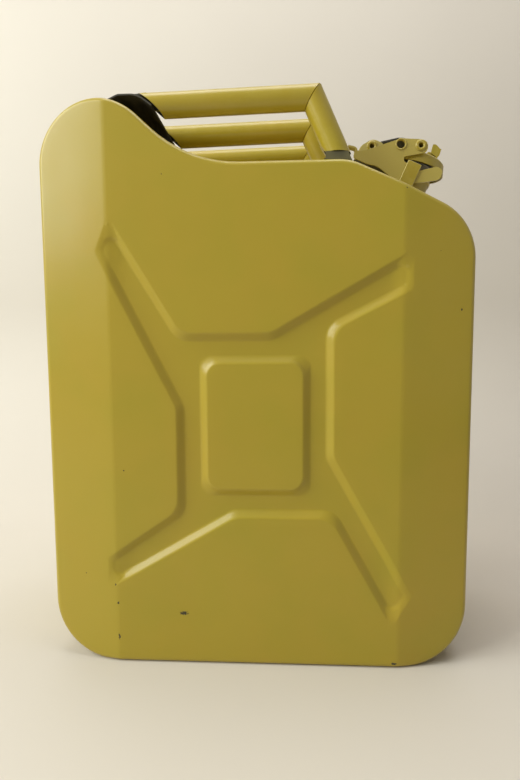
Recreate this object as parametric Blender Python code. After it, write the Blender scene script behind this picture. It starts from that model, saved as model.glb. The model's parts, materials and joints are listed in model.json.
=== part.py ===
"""A steel jerry can of 20 litres: two pressed shells, three rolled handles and a lever closure.

The frame has +X towards the spout, +Y towards the rear shell and +Z up.
Its origin is on the ground, under the middle of the body.
"""

import math

import bmesh
import bpy
from mathutils import Matrix, Vector
from mathutils.geometry import delaunay_2d_cdt

# Clearances
FIT = 0.0003
OVERLAP = 0.0004
OVERRUN = 0.004

# Body, seen from the front
BODY_LENGTH = 0.345
BODY_DEPTH = 0.165
HUMP_HEIGHT = 0.454
HUMP_RISE = 0.0505
HUMP_LENGTH = 0.0682
SHOULDER_LENGTH = 0.0991
DECK_HEIGHT = HUMP_HEIGHT - HUMP_RISE
DECK_FRONT_X = BODY_LENGTH / 2 - SHOULDER_LENGTH
HUMP_EDGE_X = HUMP_LENGTH - BODY_LENGTH / 2
SHOULDER_ANGLE = math.radians(24)
HUMP_ANGLE = math.radians(43)
FOOT_RADIUS = 0.048
SHOULDER_RADIUS = 0.046
DECK_FRONT_RADIUS = 0.040
DECK_REAR_RADIUS = 0.100
HUMP_EDGE_RADIUS = 0.050
HUMP_CORNER_RADIUS = 0.048

# Pressed sheet
SHEET = 0.001
EDGE_RADIUS = 0.0042
FLANK_WIDTH = 0.0575
FLANK_DROP = 0.011
GROOVE_DEPTH = 0.006
GROOVE_HALF_WIDTH = 0.0085
GROOVE_WALL = 0.002
GROOVE_RUNOUT = 0.008
GROOVE_LEAST_SHARE = 0.1
FIN_SHARE = 0.6
WELD_BEAD_HEIGHT = 0.001

# Embossed cross and its raised field
CREASE_X = BODY_LENGTH / 2 - FLANK_WIDTH
EMBOSS_DEPTH = 0.0045
EMBOSS_WALL = 0.008
ARM_RADIUS = 0.0075
CROTCH_RADIUS = 0.015
FIELD_LENGTH = 0.082
FIELD_HEIGHT = 0.107
FIELD_CENTRE_SHARE = 0.492
FIELD_CENTRE_Z = FIELD_CENTRE_SHARE * DECK_HEIGHT
FIELD_RADIUS = 0.0135
WALL_SHARES = ((0.0, 0.0), (0.2, 0.125), (0.8, 0.875), (1.0, 1.0))

# Handles
HANDLE_SPACING = 0.0641
HANDLE_RADIUS = 0.0096
HANDLE_SHEET = 0.0012
HANDLE_BEND_X = DECK_FRONT_X - 0.0275
HANDLE_BEND_Z = HUMP_HEIGHT + 0.0011
HANDLE_RISE = 0.023
HANDLE_LEG_ANGLE = math.radians(24)
HANDLE_SEAM_ANGLE = math.radians(4)
HANDLE_REAR_LOW_X = HUMP_EDGE_X + 0.0331
HANDLE_REAR_HIGH_X = HUMP_EDGE_X + 0.0128
LEG_SIDE_GAP = 0.0085
LEG_INNER_RISE = 0.007
LEG_INNER_SHARE = 0.8
FOOT_WALL_Y = 0.0075
FOOT_BACK = DECK_FRONT_X - 0.0179
FOOT_FRONT = DECK_FRONT_X + 0.0026
FOOT_FRONT_REACH = 0.0075
TONGUE_HALF_WIDTH = HANDLE_SPACING / 2 - FIT / 2
TONGUE_OUTER_Y = 0.072
TONGUE_REAR_X = HUMP_EDGE_X - 0.0327
TONGUE_LAND_X = HUMP_EDGE_X - 0.0095
TONGUE_CREST_REAR_X = HUMP_EDGE_X - 0.0019
TONGUE_CREST_FRONT_X = HUMP_EDGE_X + 0.0134
TONGUE_CREST_RISE = 0.0043
TONGUE_FRONT_X = HUMP_EDGE_X + 0.0246
TONGUE_FRONT_DROP = 0.004
TONGUE_LAND_RADIUS = 0.008
TONGUE_CREST_RADIUS = 0.018
RIDGE_REACH = 0.007
RIDGE_WIDTH_SHARE = 0.42

# Neck, in the shoulder's frame
NECK_ALONG = 0.0496
NECK_RADIUS = 0.022
NECK_WALL = 0.0012
NECK_HEIGHT = 0.0335
NECK_DIP = 0.010
COLLAR_RADIUS = 0.0265
COLLAR_THICKNESS = 0.0011
LIP_RADIUS = 0.0227
LIP_HEIGHT = 0.0042

# Breather tube
BREATHER_RADIUS = 0.0045
BREATHER_WALL = 0.001
BREATHER_TOP = 0.025
BREATHER_DIP = 0.021
BREATHER_BEND = 0.014
BREATHER_DECK_DROP = 0.0145
BREATHER_FOOT_X = HUMP_EDGE_X + 0.0543
BREATHER_END_X = HUMP_EDGE_X - 0.0037
BREATHER_END_DROP = 0.030

# Hinge and its bracket
HINGE_BACK = 0.0385
HINGE_HEIGHT = 0.0376
EAR_INNER_Y = 0.0173
EAR_SHEET = 0.0015
BACK_PLATE_BEHIND = 0.0474
BACK_PLATE_BOTTOM = 0.010
BACK_PLATE_TOP = 0.024
PIN_RADIUS = 0.00275
PIN_BORE = 0.002
PIN_HEAD_RADIUS = 0.0046
PIN_HEAD = 0.0012
KNUCKLE_RADIUS = 0.005

# Lid, in the frame of its lower rim
LID_RIM_DROP = 0.0073
LID_RADIUS = 0.030
LID_TOP_RADIUS = 0.0288
LID_HEIGHT = 0.0088
LID_SHEET = 0.0012
LID_DISH_RADIUS = 0.0206
LID_DISH_DROP = 0.0024
LID_AJAR = math.radians(10)
GASKET_INNER = 0.0195
GASKET_OUTER = 0.0272
GASKET_THICKNESS = 0.0014
RETAINER_RADIUS = 0.0203
RETAINER_SHEET = 0.001
RIVET_AHEAD = 0.0135
RIVET_RADIUS = 0.0016
RIVET_HEAD_RADIUS = 0.0026
RIVET_HEAD = 0.0012

# Lid arm, in the lid's frame
ARM_SHEET = 0.0015
ARM_HALF_WIDTH = 0.010
ARM_CREST = 0.0227
ARM_REAR_BEND = 0.0305
ARM_CREST_BACK = 0.016
ARM_CREST_FRONT = 0.001
ARM_FOOT_BACK = 0.0105
ARM_TAB_FOOT = 0.0176
ARM_TAB_HEIGHT = 0.0215
ARM_TAB_LEAN = 0.003
PIVOT_RISE = 0.0119
LUG_HALF_WIDTH = 0.0062

# Lever cheeks
CHEEK_INNER_Y = 0.0304
CHEEK_SHEET = 0.0015
CHEEK_LENGTH = 0.075
CHEEK_HEIGHT = 0.040
EYE_BACK = 0.0163
EYE_RISE = 0.0093
EYE_RADIUS = 0.0035
EYE_WALL = 0.0007
EYE_RIM_RADIUS = 0.0048
EYE_RIM = 0.0007
LIP_INNER_Y = 0.024

# Keeper straps on the neck
KEEPER_INNER_Y = 0.0324
KEEPER_SHEET = 0.0015
KEEPER_HALF_WIDTH = 0.0059
KEEPER_FOOT = 0.0032
KEEPER_TOP = 0.034
KEEPER_BEND = 0.003

# Facets
ARC_STEP = math.radians(11)
TIGHT_ARC_STEP = math.radians(24)
EDGE_STEPS = 3
ROUND_SEGMENTS = 36
SMALL_SEGMENTS = 20
SECTION_SEGMENTS = 26

# Corners of the embossed recess, counter-clockwise: shares of CREASE_X and of DECK_HEIGHT,
# then whether the corner is the end of an arm.
CROSS_CORNER_SHARES = (
    (-1.061, 0.835, True),
    (-0.522, 0.531, False),
    (-0.524, 0.318, False),
    (-1.039, 0.218, True),
    (-1.039, 0.168, True),
    (-0.151, 0.316, False),
    (0.538, 0.316, False),
    (0.952, 0.102, True),
    (1.065, 0.151, True),
    (0.515, 0.431, False),
    (0.513, 0.686, False),
    (1.039, 0.762, True),
    (1.039, 0.819, True),
    (0.117, 0.669, False),
    (-0.522, 0.669, False),
    (-0.983, 0.886, True),
)

# Corners of a cheek in the lid's frame, counter-clockwise: shares of CHEEK_LENGTH and of
# CHEEK_HEIGHT from the lid's centre, and the corner's radius as a share of CHEEK_HEIGHT.
CHEEK_CORNER_SHARES = (
    (-0.704, -0.103, 0.04),
    (-0.696, -0.240, 0.04),
    (-0.533, -0.305, 0.25),
    (-0.413, -0.298, 0.25),
    (-0.147, -0.538, 0.30),
    (0.097, -0.435, 0.30),
    (0.301, -0.290, 0.11),
    (0.307, -0.095, 0.09),
    (0.240, -0.035, 0.10),
    (0.033, -0.222, 0.08),
    (-0.136, -0.085, 0.03),
    (-0.152, 0.003, 0.03),
    (0.083, 0.190, 0.10),
    (0.083, 0.455, 0.15),
    (-0.232, 0.348, 0.20),
    (-0.600, -0.065, 0.30),
)

# Corners of a hinge ear from the neck's axis: shares of HINGE_HEIGHT, and the radius likewise.
EAR_CORNER_SHARES = (
    (-0.936, 0.0077, 0.03),
    (-0.559, 0.0077, 0.02),
    (-0.538, 0.055, 0.02),
    (-0.372, 0.055, 0.02),
    (-0.372, 0.60, 0.06),
    (-0.674, 0.70, 0.06),
    (-0.716, 1.01, 0.06),
    (-0.820, 1.165, 0.10),
    (-1.082, 1.165, 0.16),
    (-1.261, 0.92, 0.12),
    (-1.292, 0.45, 0.08),
)

# Corners of a flange beside the arm's tab, counter-clockwise in the lid's frame: shares of
# ARM_TAB_HEIGHT, and the radius likewise.
TAB_CORNER_SHARES = (
    (0.614, 0.753, 0.03),
    (0.912, 0.647, 0.06),
    (0.972, 0.744, 0.05),
    (0.986, 0.940, 0.08),
    (0.884, 1.037, 0.08),
    (0.740, 1.126, 0.06),
    (0.619, 1.121, 0.04),
)

HALF_LENGTH = BODY_LENGTH / 2
HALF_DEPTH = BODY_DEPTH / 2
SHOULDER_SLOPE = math.tan(SHOULDER_ANGLE)
HINGE_ALONG = NECK_ALONG - HINGE_BACK
SHOULDER_FRAME = (
    Matrix.Translation((DECK_FRONT_X, 0, DECK_HEIGHT)) @ Matrix.Rotation(SHOULDER_ANGLE, 4, "Y")
)
AXIS_TO_Y = Matrix.Rotation(math.pi / 2, 4, "X")


def clear_scene():
    for old in list(bpy.data.objects):
        bpy.data.objects.remove(old, do_unlink=True)


def principled(name, colour, roughness, metallic):
    material = bpy.data.materials.new(name)
    material.use_nodes = True
    shader = material.node_tree.nodes["Principled BSDF"]
    shader.inputs["Base Color"].default_value = (*colour, 1)
    shader.inputs["Roughness"].default_value = roughness
    shader.inputs["Metallic"].default_value = metallic
    return material


def make_object(name, bm, material, matrix=Matrix.Identity(4), parent=None):
    """Turns a bmesh into an object with outward faces, smooth where its surface is round."""
    bmesh.ops.recalc_face_normals(bm, faces=bm.faces[:])
    mesh = bpy.data.meshes.new(name)
    bm.to_mesh(mesh)
    bm.free()
    mesh.shade_smooth()
    mesh.set_sharp_from_angle(angle=math.radians(32))
    made = bpy.data.objects.new(name, mesh)
    bpy.context.collection.objects.link(made)
    mesh.materials.append(material)
    made.parent = parent
    made.matrix_local = matrix
    return made


def make_empty(name, matrix, parent=None):
    made = bpy.data.objects.new(name, None)
    bpy.context.collection.objects.link(made)
    made.parent = parent
    made.matrix_local = matrix
    return made


def as_tool(tool):
    tool.hide_render = True
    tool.display_type = "WIRE"
    return tool


def boolean(target, tool, operation):
    as_tool(tool)
    cut = target.modifiers.new(tool.name, "BOOLEAN")
    cut.operation = operation
    cut.solver = "EXACT"
    cut.object = tool


def turn_of(before, corner, after):
    """The directions into and out of a corner, and the angle between them, left positive."""
    inward = (corner - before).normalized()
    outward = (after - corner).normalized()
    turn = math.atan2(inward.cross(outward), inward.dot(outward))
    return inward, outward, turn


def corner_arc(before, corner, after, radius, step):
    """The points that round off one corner; a straight corner is kept as a point."""
    inward, outward, turn = turn_of(before, corner, after)
    if abs(turn) < math.radians(1) or radius <= 0:
        return [corner.copy()]
    reach = radius * math.tan(abs(turn) / 2)
    start = corner - inward * reach
    side = math.copysign(1, turn)
    centre = start + Vector((-inward.y, inward.x)) * radius * side
    count = max(1, round(abs(turn) / step))
    arm = start - centre
    points = []
    for i in range(count + 1):
        angle = turn * i / count
        points.append(centre + Matrix.Rotation(angle, 2) @ arm)
    return points


def rounded_outline(corners, inset, step):
    """A closed outline, counter-clockwise, moved inwards by inset with its arcs kept concentric."""
    points = [Vector(corner[:2]) for corner in corners]
    count = len(points)
    moved = []
    radii = []
    for i, corner in enumerate(points):
        inward, outward, turn = turn_of(points[i - 1], corner, points[(i + 1) % count])
        left_in = Vector((-inward.y, inward.x))
        left_out = Vector((-outward.y, outward.x))
        across = (left_in + left_out).normalized()
        moved.append(corner + across * (inset / across.dot(left_in)))
        radii.append(corners[i][2] - math.copysign(inset, turn))
    outline = []
    for i, corner in enumerate(moved):
        radius = radii[i] if corners[i][2] > 0 else 0
        outline += corner_arc(moved[i - 1], corner, moved[(i + 1) % count], radius, step)
    return outline


def rounded_path(corners, step):
    """An open path whose corners, given as (x, z, radius), are rounded off."""
    points = [Vector(corner[:2]) for corner in corners]
    path = [points[0]]
    for i in range(1, len(points) - 1):
        path += corner_arc(points[i - 1], points[i], points[i + 1], corners[i][2], step)
    path.append(points[-1])
    return path


def box_outline(left, right, low, high):
    return [Vector((left, low)), Vector((right, low)), Vector((right, high)), Vector((left, high))]


def circle_points(x, z, radius, segments):
    turns = [2 * math.pi * i / segments for i in range(segments)]
    return [Vector((x + radius * math.cos(a), z + radius * math.sin(a))) for a in turns]


def inside(point, loop):
    hits = 0
    for i, end in enumerate(loop):
        start = loop[i - 1]
        if (start.y > point.y) != (end.y > point.y):
            crossing = start.x + (point.y - start.y) * (end.x - start.x) / (end.y - start.y)
            hits += crossing > point.x
    return hits % 2 == 1


def triangulate(loops, holes=0):
    """Triangles inside the first loop and outside the last loops, which count as holes."""
    points = [point for loop in loops for point in loop]
    edges = []
    first = 0
    for loop in loops:
        edges += [(first + i, first + (i + 1) % len(loop)) for i in range(len(loop))]
        first += len(loop)
    verts, _, faces, sources, _, _ = delaunay_2d_cdt(points, edges, [], 1, 1e-9, True)
    kept = []
    for face in faces:
        middle = sum((verts[i] for i in face), Vector((0, 0))) / len(face)
        in_hole = any(inside(middle, loop) for loop in loops[len(loops) - holes :])
        if inside(middle, loops[0]) and not in_hole:
            kept.append(face)
    return verts, kept, sources


def plate_mesh(outline, holes, near, far):
    """A plate with the outline in X and Z, pierced by round holes, between two depths in Y."""
    rims = [circle_points(*hole, SMALL_SEGMENTS) for hole in holes]
    verts, faces, _ = triangulate([outline] + rims, len(rims))
    bm = bmesh.new()
    front = [bm.verts.new((v.x, near, v.y)) for v in verts]
    back = [bm.verts.new((v.x, far, v.y)) for v in verts]
    uses = {}
    for face in faces:
        bm.faces.new([front[i] for i in face])
        bm.faces.new([back[i] for i in reversed(face)])
        for i, end in enumerate(face):
            uses.setdefault(frozenset((face[i - 1], end)), []).append((face[i - 1], end))
    for sides in uses.values():
        if len(sides) == 1:
            a, b = sides[0]
            bm.faces.new([front[b], front[a], back[a], back[b]])
    loose = [v for v in bm.verts if not v.link_faces]
    bmesh.ops.delete(bm, geom=loose, context="VERTS")
    return bm


def thick_line(path, thickness):
    """The outline of a sheet of this thickness that follows an open path."""
    left = []
    right = []
    for i, point in enumerate(path):
        before = path[max(i - 1, 0)]
        after = path[min(i + 1, len(path) - 1)]
        along = (after - before).normalized()
        reach = Vector((-along.y, along.x)) * thickness / 2
        left.append(point + reach)
        right.append(point - reach)
    return right + left[::-1]


def lathe_mesh(profile, segments, closed):
    """Turns a profile of (radius, height) about Z; an open one starts and ends on the axis."""
    bm = bmesh.new()
    rings = []
    for radius, height in profile:
        if radius == 0:
            rings.append([bm.verts.new((0, 0, height))])
            continue
        ring = [bm.verts.new((p.x, p.y, height)) for p in circle_points(0, 0, radius, segments)]
        rings.append(ring)
    pairs = list(zip(rings, rings[1:]))
    if closed:
        pairs.append((rings[-1], rings[0]))
    for upper, lower in pairs:
        for i in range(segments):
            j = (i + 1) % segments
            corners = []
            for ring, index in ((upper, i), (upper, j), (lower, j), (lower, i)):
                vert = ring[index % len(ring)]
                if vert not in corners:
                    corners.append(vert)
            if len(corners) > 2:
                bm.faces.new(corners)
    return bm


def bridge_rings(bm, first, second):
    for i in range(len(first)):
        j = (i + 1) % len(first)
        bm.faces.new([first[i], first[j], second[j], second[i]])


def body_corners():
    """The body's outline: (x, z, radius) from the lower left, counter-clockwise."""
    shoulder_z = DECK_HEIGHT - SHOULDER_SLOPE * (HALF_LENGTH - DECK_FRONT_X)
    deck_rear_x = HUMP_EDGE_X + (HUMP_HEIGHT - DECK_HEIGHT) / math.tan(HUMP_ANGLE)
    corners = [
        (-HALF_LENGTH, 0, FOOT_RADIUS),
        (HALF_LENGTH, 0, FOOT_RADIUS),
        (HALF_LENGTH, shoulder_z, SHOULDER_RADIUS),
    ]
    reach = COLLAR_RADIUS + FIT
    for along in (NECK_ALONG + reach, NECK_ALONG - reach, NECK_ALONG - reach - GROOVE_RUNOUT):
        on_shoulder = SHOULDER_FRAME @ Vector((along, 0, 0))
        corners.append((on_shoulder.x, on_shoulder.z, 0))
    corners += [
        (DECK_FRONT_X, DECK_HEIGHT, DECK_FRONT_RADIUS),
        (deck_rear_x, DECK_HEIGHT, DECK_REAR_RADIUS),
        (HUMP_EDGE_X, HUMP_HEIGHT, HUMP_EDGE_RADIUS),
        (-HALF_LENGTH, HUMP_HEIGHT, HUMP_CORNER_RADIUS),
    ]
    return corners


def groove_shares(outline):
    """How deep the seam's groove is at each point: it runs out beside the neck's collar."""
    neck_foot = SHOULDER_FRAME @ Vector((NECK_ALONG, 0, 0))
    shares = []
    for point in outline:
        past = (point - Vector((neck_foot.x, neck_foot.z))).length - COLLAR_RADIUS
        shares.append(min(1, max(GROOVE_LEAST_SHARE, past / GROOVE_RUNOUT)))
    return shares


def cross_corners():
    corners = []
    for x_share, z_share, arm_end in CROSS_CORNER_SHARES:
        radius = ARM_RADIUS if arm_end else CROTCH_RADIUS
        corners.append((x_share * CREASE_X, z_share * DECK_HEIGHT, radius))
    return corners


def field_corners():
    half_length = FIELD_LENGTH / 2
    low = FIELD_CENTRE_Z - FIELD_HEIGHT / 2
    high = FIELD_CENTRE_Z + FIELD_HEIGHT / 2
    return [
        (-half_length, low, FIELD_RADIUS),
        (half_length, low, FIELD_RADIUS),
        (half_length, high, FIELD_RADIUS),
        (-half_length, high, FIELD_RADIUS),
    ]


def face_loops():
    """The loops of a shell's face: its edge, then the walls of the cross and of the field."""
    loops = [rounded_outline(body_corners(), EDGE_RADIUS, ARC_STEP)]
    depths = [0]
    for along, down in WALL_SHARES:
        inset = (along - 0.5) * EMBOSS_WALL
        loops.append(rounded_outline(cross_corners(), inset, TIGHT_ARC_STEP))
        depths.append(down * EMBOSS_DEPTH)
    for along, down in WALL_SHARES:
        inset = (0.5 - along) * EMBOSS_WALL
        loops.append(rounded_outline(field_corners(), -inset, TIGHT_ARC_STEP))
        depths.append((1 - down) * EMBOSS_DEPTH)
    return loops, depths


def shell_mesh(side):
    """The outer skin of one shell; side is -1 for the front one and 1 for the rear one."""
    loops, depths = face_loops()
    verts, faces, sources = triangulate(loops)
    depth_of = [depth for loop, depth in zip(loops, depths) for _ in loop]
    bm = bmesh.new()
    made = {}
    skin = []
    for vert, source in zip(verts, sources):
        y = HALF_DEPTH - depth_of[source[0]]
        skin.append(bm.verts.new((vert.x, side * y, vert.y)))
        for index in source:
            made[index] = skin[-1]
    for face in faces:
        bm.faces.new([skin[i] for i in face])
    ring = [made[i] for i in range(len(loops[0]))]

    outline = rounded_outline(body_corners(), 0, ARC_STEP)
    floor = rounded_outline(body_corners(), GROOVE_DEPTH, ARC_STEP)
    shares = groove_shares(outline)
    for i in range(1, EDGE_STEPS + 1):
        angle = math.pi / 2 * i / EDGE_STEPS
        inset = EDGE_RADIUS * (1 - math.sin(angle))
        y = HALF_DEPTH - EDGE_RADIUS * (1 - math.cos(angle))
        points = rounded_outline(body_corners(), inset, ARC_STEP)
        ring = add_ring(bm, ring, points, side * y)
    ring = add_ring(bm, ring, outline, side * GROOVE_HALF_WIDTH)
    grooved = [a.lerp(b, share) for a, b, share in zip(outline, floor, shares)]
    ring = add_ring(bm, ring, grooved, side * (GROOVE_HALF_WIDTH - GROOVE_WALL))
    fin_y = side * (FIT / 2 + SHEET)
    ring = add_ring(bm, ring, grooved, fin_y)
    fins = [a.lerp(b, share * (1 - FIN_SHARE)) for a, b, share in zip(outline, floor, shares)]
    add_ring(bm, ring, fins, fin_y)

    for x in (-CREASE_X, CREASE_X):
        every = bm.verts[:] + bm.edges[:] + bm.faces[:]
        bmesh.ops.bisect_plane(bm, geom=every, dist=1e-7, plane_co=(x, 0, 0), plane_no=(1, 0, 0))
    for vert in bm.verts:
        past = max(0, abs(vert.co.x) - CREASE_X)
        if abs(vert.co.y) > HALF_DEPTH / 2:
            vert.co.y -= side * FLANK_DROP * past / FLANK_WIDTH
    bmesh.ops.recalc_face_normals(bm, faces=bm.faces[:])
    lowest = min(bm.faces, key=lambda face: face.calc_center_median().z)
    if lowest.normal.z > 0:
        bmesh.ops.reverse_faces(bm, faces=bm.faces[:])
    return bm


def add_ring(bm, ring, points, y):
    new = [bm.verts.new((point.x, y, point.y)) for point in points]
    bridge_rings(bm, ring, new)
    return new


def make_shell(name, side, material, neck_hole):
    mesh = bpy.data.meshes.new(name)
    bm = shell_mesh(side)
    bm.to_mesh(mesh)
    bm.free()
    mesh.shade_smooth()
    mesh.set_sharp_from_angle(angle=math.radians(32))
    mesh.materials.append(material)
    shell = bpy.data.objects.new(name, mesh)
    bpy.context.collection.objects.link(shell)
    sheet = shell.modifiers.new("sheet", "SOLIDIFY")
    sheet.thickness = SHEET
    sheet.offset = -1
    sheet.use_even_offset = True
    sheet.use_quality_normals = True
    boolean(shell, neck_hole, "DIFFERENCE")
    return shell


def make_seam_weld(material):
    """The bead on the edges of the two fins, from one side of the neck round to the other."""
    outline = rounded_outline(body_corners(), 0, ARC_STEP)
    floor = rounded_outline(body_corners(), GROOVE_DEPTH, ARC_STEP)
    shares = groove_shares(outline)
    full = [i for i, share in enumerate(shares) if share >= 1]
    after_neck = next(i for i in full if i - 1 not in full and i > 0)
    order = [(after_neck + i) % len(outline) for i in range(len(full))]
    low = (1 - FIN_SHARE) - FIT / GROOVE_DEPTH
    high = low - WELD_BEAD_HEIGHT / GROOVE_DEPTH
    half = FIT / 2 + SHEET
    bm = bmesh.new()
    rings = []
    for i in order:
        bottom = outline[i].lerp(floor[i], low)
        top = outline[i].lerp(floor[i], high)
        section = ((bottom, -half), (top, -half / 2), (top, half / 2), (bottom, half))
        rings.append([bm.verts.new((point.x, y, point.y)) for point, y in section])
    for first, second in zip(rings, rings[1:]):
        bridge_rings(bm, first, second)
    bm.faces.new(rings[0])
    bm.faces.new(rings[-1])
    return make_object("seam_weld", bm, material)


def handle_section():
    """The rolled tube's section: (across, outward) round the outside and back round the inside."""
    points = []
    for radius, way in ((HANDLE_RADIUS, 1), (HANDLE_RADIUS - HANDLE_SHEET, -1)):
        sweep = []
        for i in range(SECTION_SEGMENTS + 1):
            open_part = HANDLE_SEAM_ANGLE
            angle = -math.pi / 2 + open_part + (2 * math.pi - 2 * open_part) * i / SECTION_SEGMENTS
            sweep.append((radius * math.cos(angle), radius * math.sin(angle)))
        points += sweep[::way]
    return points


def leg_foot_height(outward):
    """Where the leg is cut off above its foot; its open side, towards the hand, is cut higher."""
    open_share = max(0, -outward / HANDLE_RADIUS - LEG_INNER_SHARE) / (1 - LEG_INNER_SHARE)
    return DECK_HEIGHT + LEG_SIDE_GAP + LEG_INNER_RISE * open_share


def handle_mesh(centre_y):
    bend = Vector((HANDLE_BEND_X, HANDLE_BEND_Z))
    bar = Vector((1, HANDLE_RISE)).normalized()
    bar_out = Vector((-bar.y, bar.x))
    leg = Vector((math.sin(HANDLE_LEG_ANGLE), -math.cos(HANDLE_LEG_ANGLE)))
    leg_out = Vector((-leg.y, leg.x))
    bisector = (bar_out + leg_out).normalized()
    stretch = 1 / bisector.dot(bar_out)
    bm = bmesh.new()
    rear = []
    mitre = []
    foot = []
    for across, outward in handle_section():
        y = centre_y + across
        high = (outward / HANDLE_RADIUS + 1) / 2
        cut_x = HANDLE_REAR_LOW_X + (HANDLE_REAR_HIGH_X - HANDLE_REAR_LOW_X) * high
        start = bend + bar_out * outward
        at_rear = start + bar * ((cut_x - start.x) / bar.x)
        at_mitre = bend + bisector * outward * stretch
        start = bend + leg_out * outward
        at_foot = start + leg * ((leg_foot_height(outward) - start.y) / leg.y)
        rear.append(bm.verts.new((at_rear.x, y, at_rear.y)))
        mitre.append(bm.verts.new((at_mitre.x, y, at_mitre.y)))
        foot.append(bm.verts.new((at_foot.x, y, at_foot.y)))
    bridge_rings(bm, rear, mitre)
    bridge_rings(bm, mitre, foot)
    last = len(rear) - 1
    for ring in (rear, foot):
        for i in range(SECTION_SEGMENTS):
            bm.faces.new([ring[i], ring[i + 1], ring[last - i - 1], ring[last - i]])
    return bm


def foot_wall_outline():
    """The foot's side wall: upright at its back, as steep as the leg in front, its top in the tube."""
    slope = math.tan(HANDLE_LEG_ANGLE)
    low = DECK_HEIGHT + FIT + HANDLE_SHEET / 2
    cut = DECK_HEIGHT + LEG_SIDE_GAP
    high = cut + 2 * HANDLE_SHEET
    front = HANDLE_BEND_X + HANDLE_BEND_Z * slope + FOOT_FRONT_REACH
    return [
        Vector((FOOT_BACK, low)),
        Vector((front - low * slope, low)),
        Vector((front - high * slope, high)),
        Vector((FOOT_BACK + 2 * HANDLE_SHEET, high)),
        Vector((FOOT_BACK, cut)),
    ]


def hump_height_at(x):
    """The hump's height over the rounded corner at its rear."""
    past = -HALF_LENGTH + HUMP_CORNER_RADIUS - x
    return HUMP_HEIGHT - HUMP_CORNER_RADIUS + math.sqrt(HUMP_CORNER_RADIUS**2 - past**2)


def make_handle(name, centre_y, material):
    """A tube rolled from sheet, folded down at its front, with its rear opened into a tongue."""
    handle = make_object(name, handle_mesh(centre_y), material)
    near = max(centre_y - TONGUE_HALF_WIDTH, -TONGUE_OUTER_Y)
    far = min(centre_y + TONGUE_HALF_WIDTH, TONGUE_OUTER_Y)
    seat = FIT + HANDLE_SHEET / 2
    corner_centre = -HALF_LENGTH + HUMP_CORNER_RADIUS
    middle = (TONGUE_REAR_X + corner_centre) / 2
    tongue = rounded_path(
        (
            (TONGUE_REAR_X, hump_height_at(TONGUE_REAR_X) + seat, 0),
            (middle, hump_height_at(middle) + seat, 0),
            (corner_centre, HUMP_HEIGHT + seat, TONGUE_LAND_RADIUS),
            (TONGUE_LAND_X, HUMP_HEIGHT + seat, TONGUE_LAND_RADIUS),
            (TONGUE_CREST_REAR_X, HUMP_HEIGHT + TONGUE_CREST_RISE, TONGUE_LAND_RADIUS),
            (TONGUE_CREST_FRONT_X, HUMP_HEIGHT + TONGUE_CREST_RISE, TONGUE_CREST_RADIUS),
            (TONGUE_FRONT_X, HUMP_HEIGHT - TONGUE_FRONT_DROP, 0),
        ),
        ARC_STEP,
    )
    outline = thick_line(tongue, HANDLE_SHEET)
    sheet = make_object(name + "_tongue", plate_mesh(outline, (), near, far), material)
    boolean(handle, sheet, "UNION")
    end_x = HANDLE_REAR_HIGH_X + RIDGE_REACH
    crown_z = HANDLE_BEND_Z - (HANDLE_BEND_X - end_x) * HANDLE_RISE + HANDLE_RADIUS
    ridge = thick_line(
        [
            Vector((TONGUE_CREST_REAR_X, HUMP_HEIGHT + TONGUE_CREST_RISE)),
            Vector((end_x, crown_z - HANDLE_SHEET / 2)),
        ],
        HANDLE_SHEET,
    )
    half = HANDLE_RADIUS * RIDGE_WIDTH_SHARE
    strip = plate_mesh(ridge, (), centre_y - half, centre_y + half)
    boolean(handle, make_object(name + "_ridge", strip, material), "UNION")
    low = DECK_HEIGHT + FIT
    foot = box_outline(FOOT_BACK, FOOT_FRONT, low, low + HANDLE_SHEET)
    half = FOOT_WALL_Y + HANDLE_SHEET / 2
    flange = plate_mesh(foot, (), centre_y - half, centre_y + half)
    boolean(handle, make_object(name + "_foot", flange, material), "UNION")
    for side in (-1, 1):
        near = centre_y + side * FOOT_WALL_Y - HANDLE_SHEET / 2
        wall = plate_mesh(foot_wall_outline(), (), near, near + HANDLE_SHEET)
        boolean(handle, make_object(name + "_foot_wall", wall, material), "UNION")
    return handle


def make_neck(material):
    inner = NECK_RADIUS - NECK_WALL
    lip_low = NECK_HEIGHT - LIP_HEIGHT
    lip_side = (LIP_RADIUS - inner) / 4
    profile = (
        (inner, -NECK_DIP),
        (NECK_RADIUS, -NECK_DIP),
        (NECK_RADIUS, FIT),
        (COLLAR_RADIUS, FIT),
        (COLLAR_RADIUS, FIT + COLLAR_THICKNESS),
        (NECK_RADIUS + COLLAR_THICKNESS, FIT + COLLAR_THICKNESS),
        (NECK_RADIUS, FIT + 2 * COLLAR_THICKNESS),
        (NECK_RADIUS, lip_low + LIP_HEIGHT / 6),
        (LIP_RADIUS - lip_side, lip_low),
        (LIP_RADIUS, lip_low + LIP_HEIGHT / 4),
        (LIP_RADIUS, NECK_HEIGHT - LIP_HEIGHT / 3),
        (LIP_RADIUS - lip_side, NECK_HEIGHT),
        (inner + lip_side, NECK_HEIGHT),
        (inner, NECK_HEIGHT - LIP_HEIGHT / 4),
    )
    frame = SHOULDER_FRAME @ Matrix.Translation((NECK_ALONG, 0, 0))
    return make_object("neck", lathe_mesh(profile, ROUND_SEGMENTS, True), material, frame)


def make_neck_hole(material):
    radius = NECK_RADIUS + FIT
    profile = (
        (0, NECK_DIP + OVERRUN),
        (radius, NECK_DIP + OVERRUN),
        (radius, -NECK_DIP - OVERRUN),
        (0, -NECK_DIP - OVERRUN),
    )
    frame = SHOULDER_FRAME @ Matrix.Translation((NECK_ALONG, 0, 0))
    return make_object("neck_hole", lathe_mesh(profile, ROUND_SEGMENTS, False), material, frame)


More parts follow.
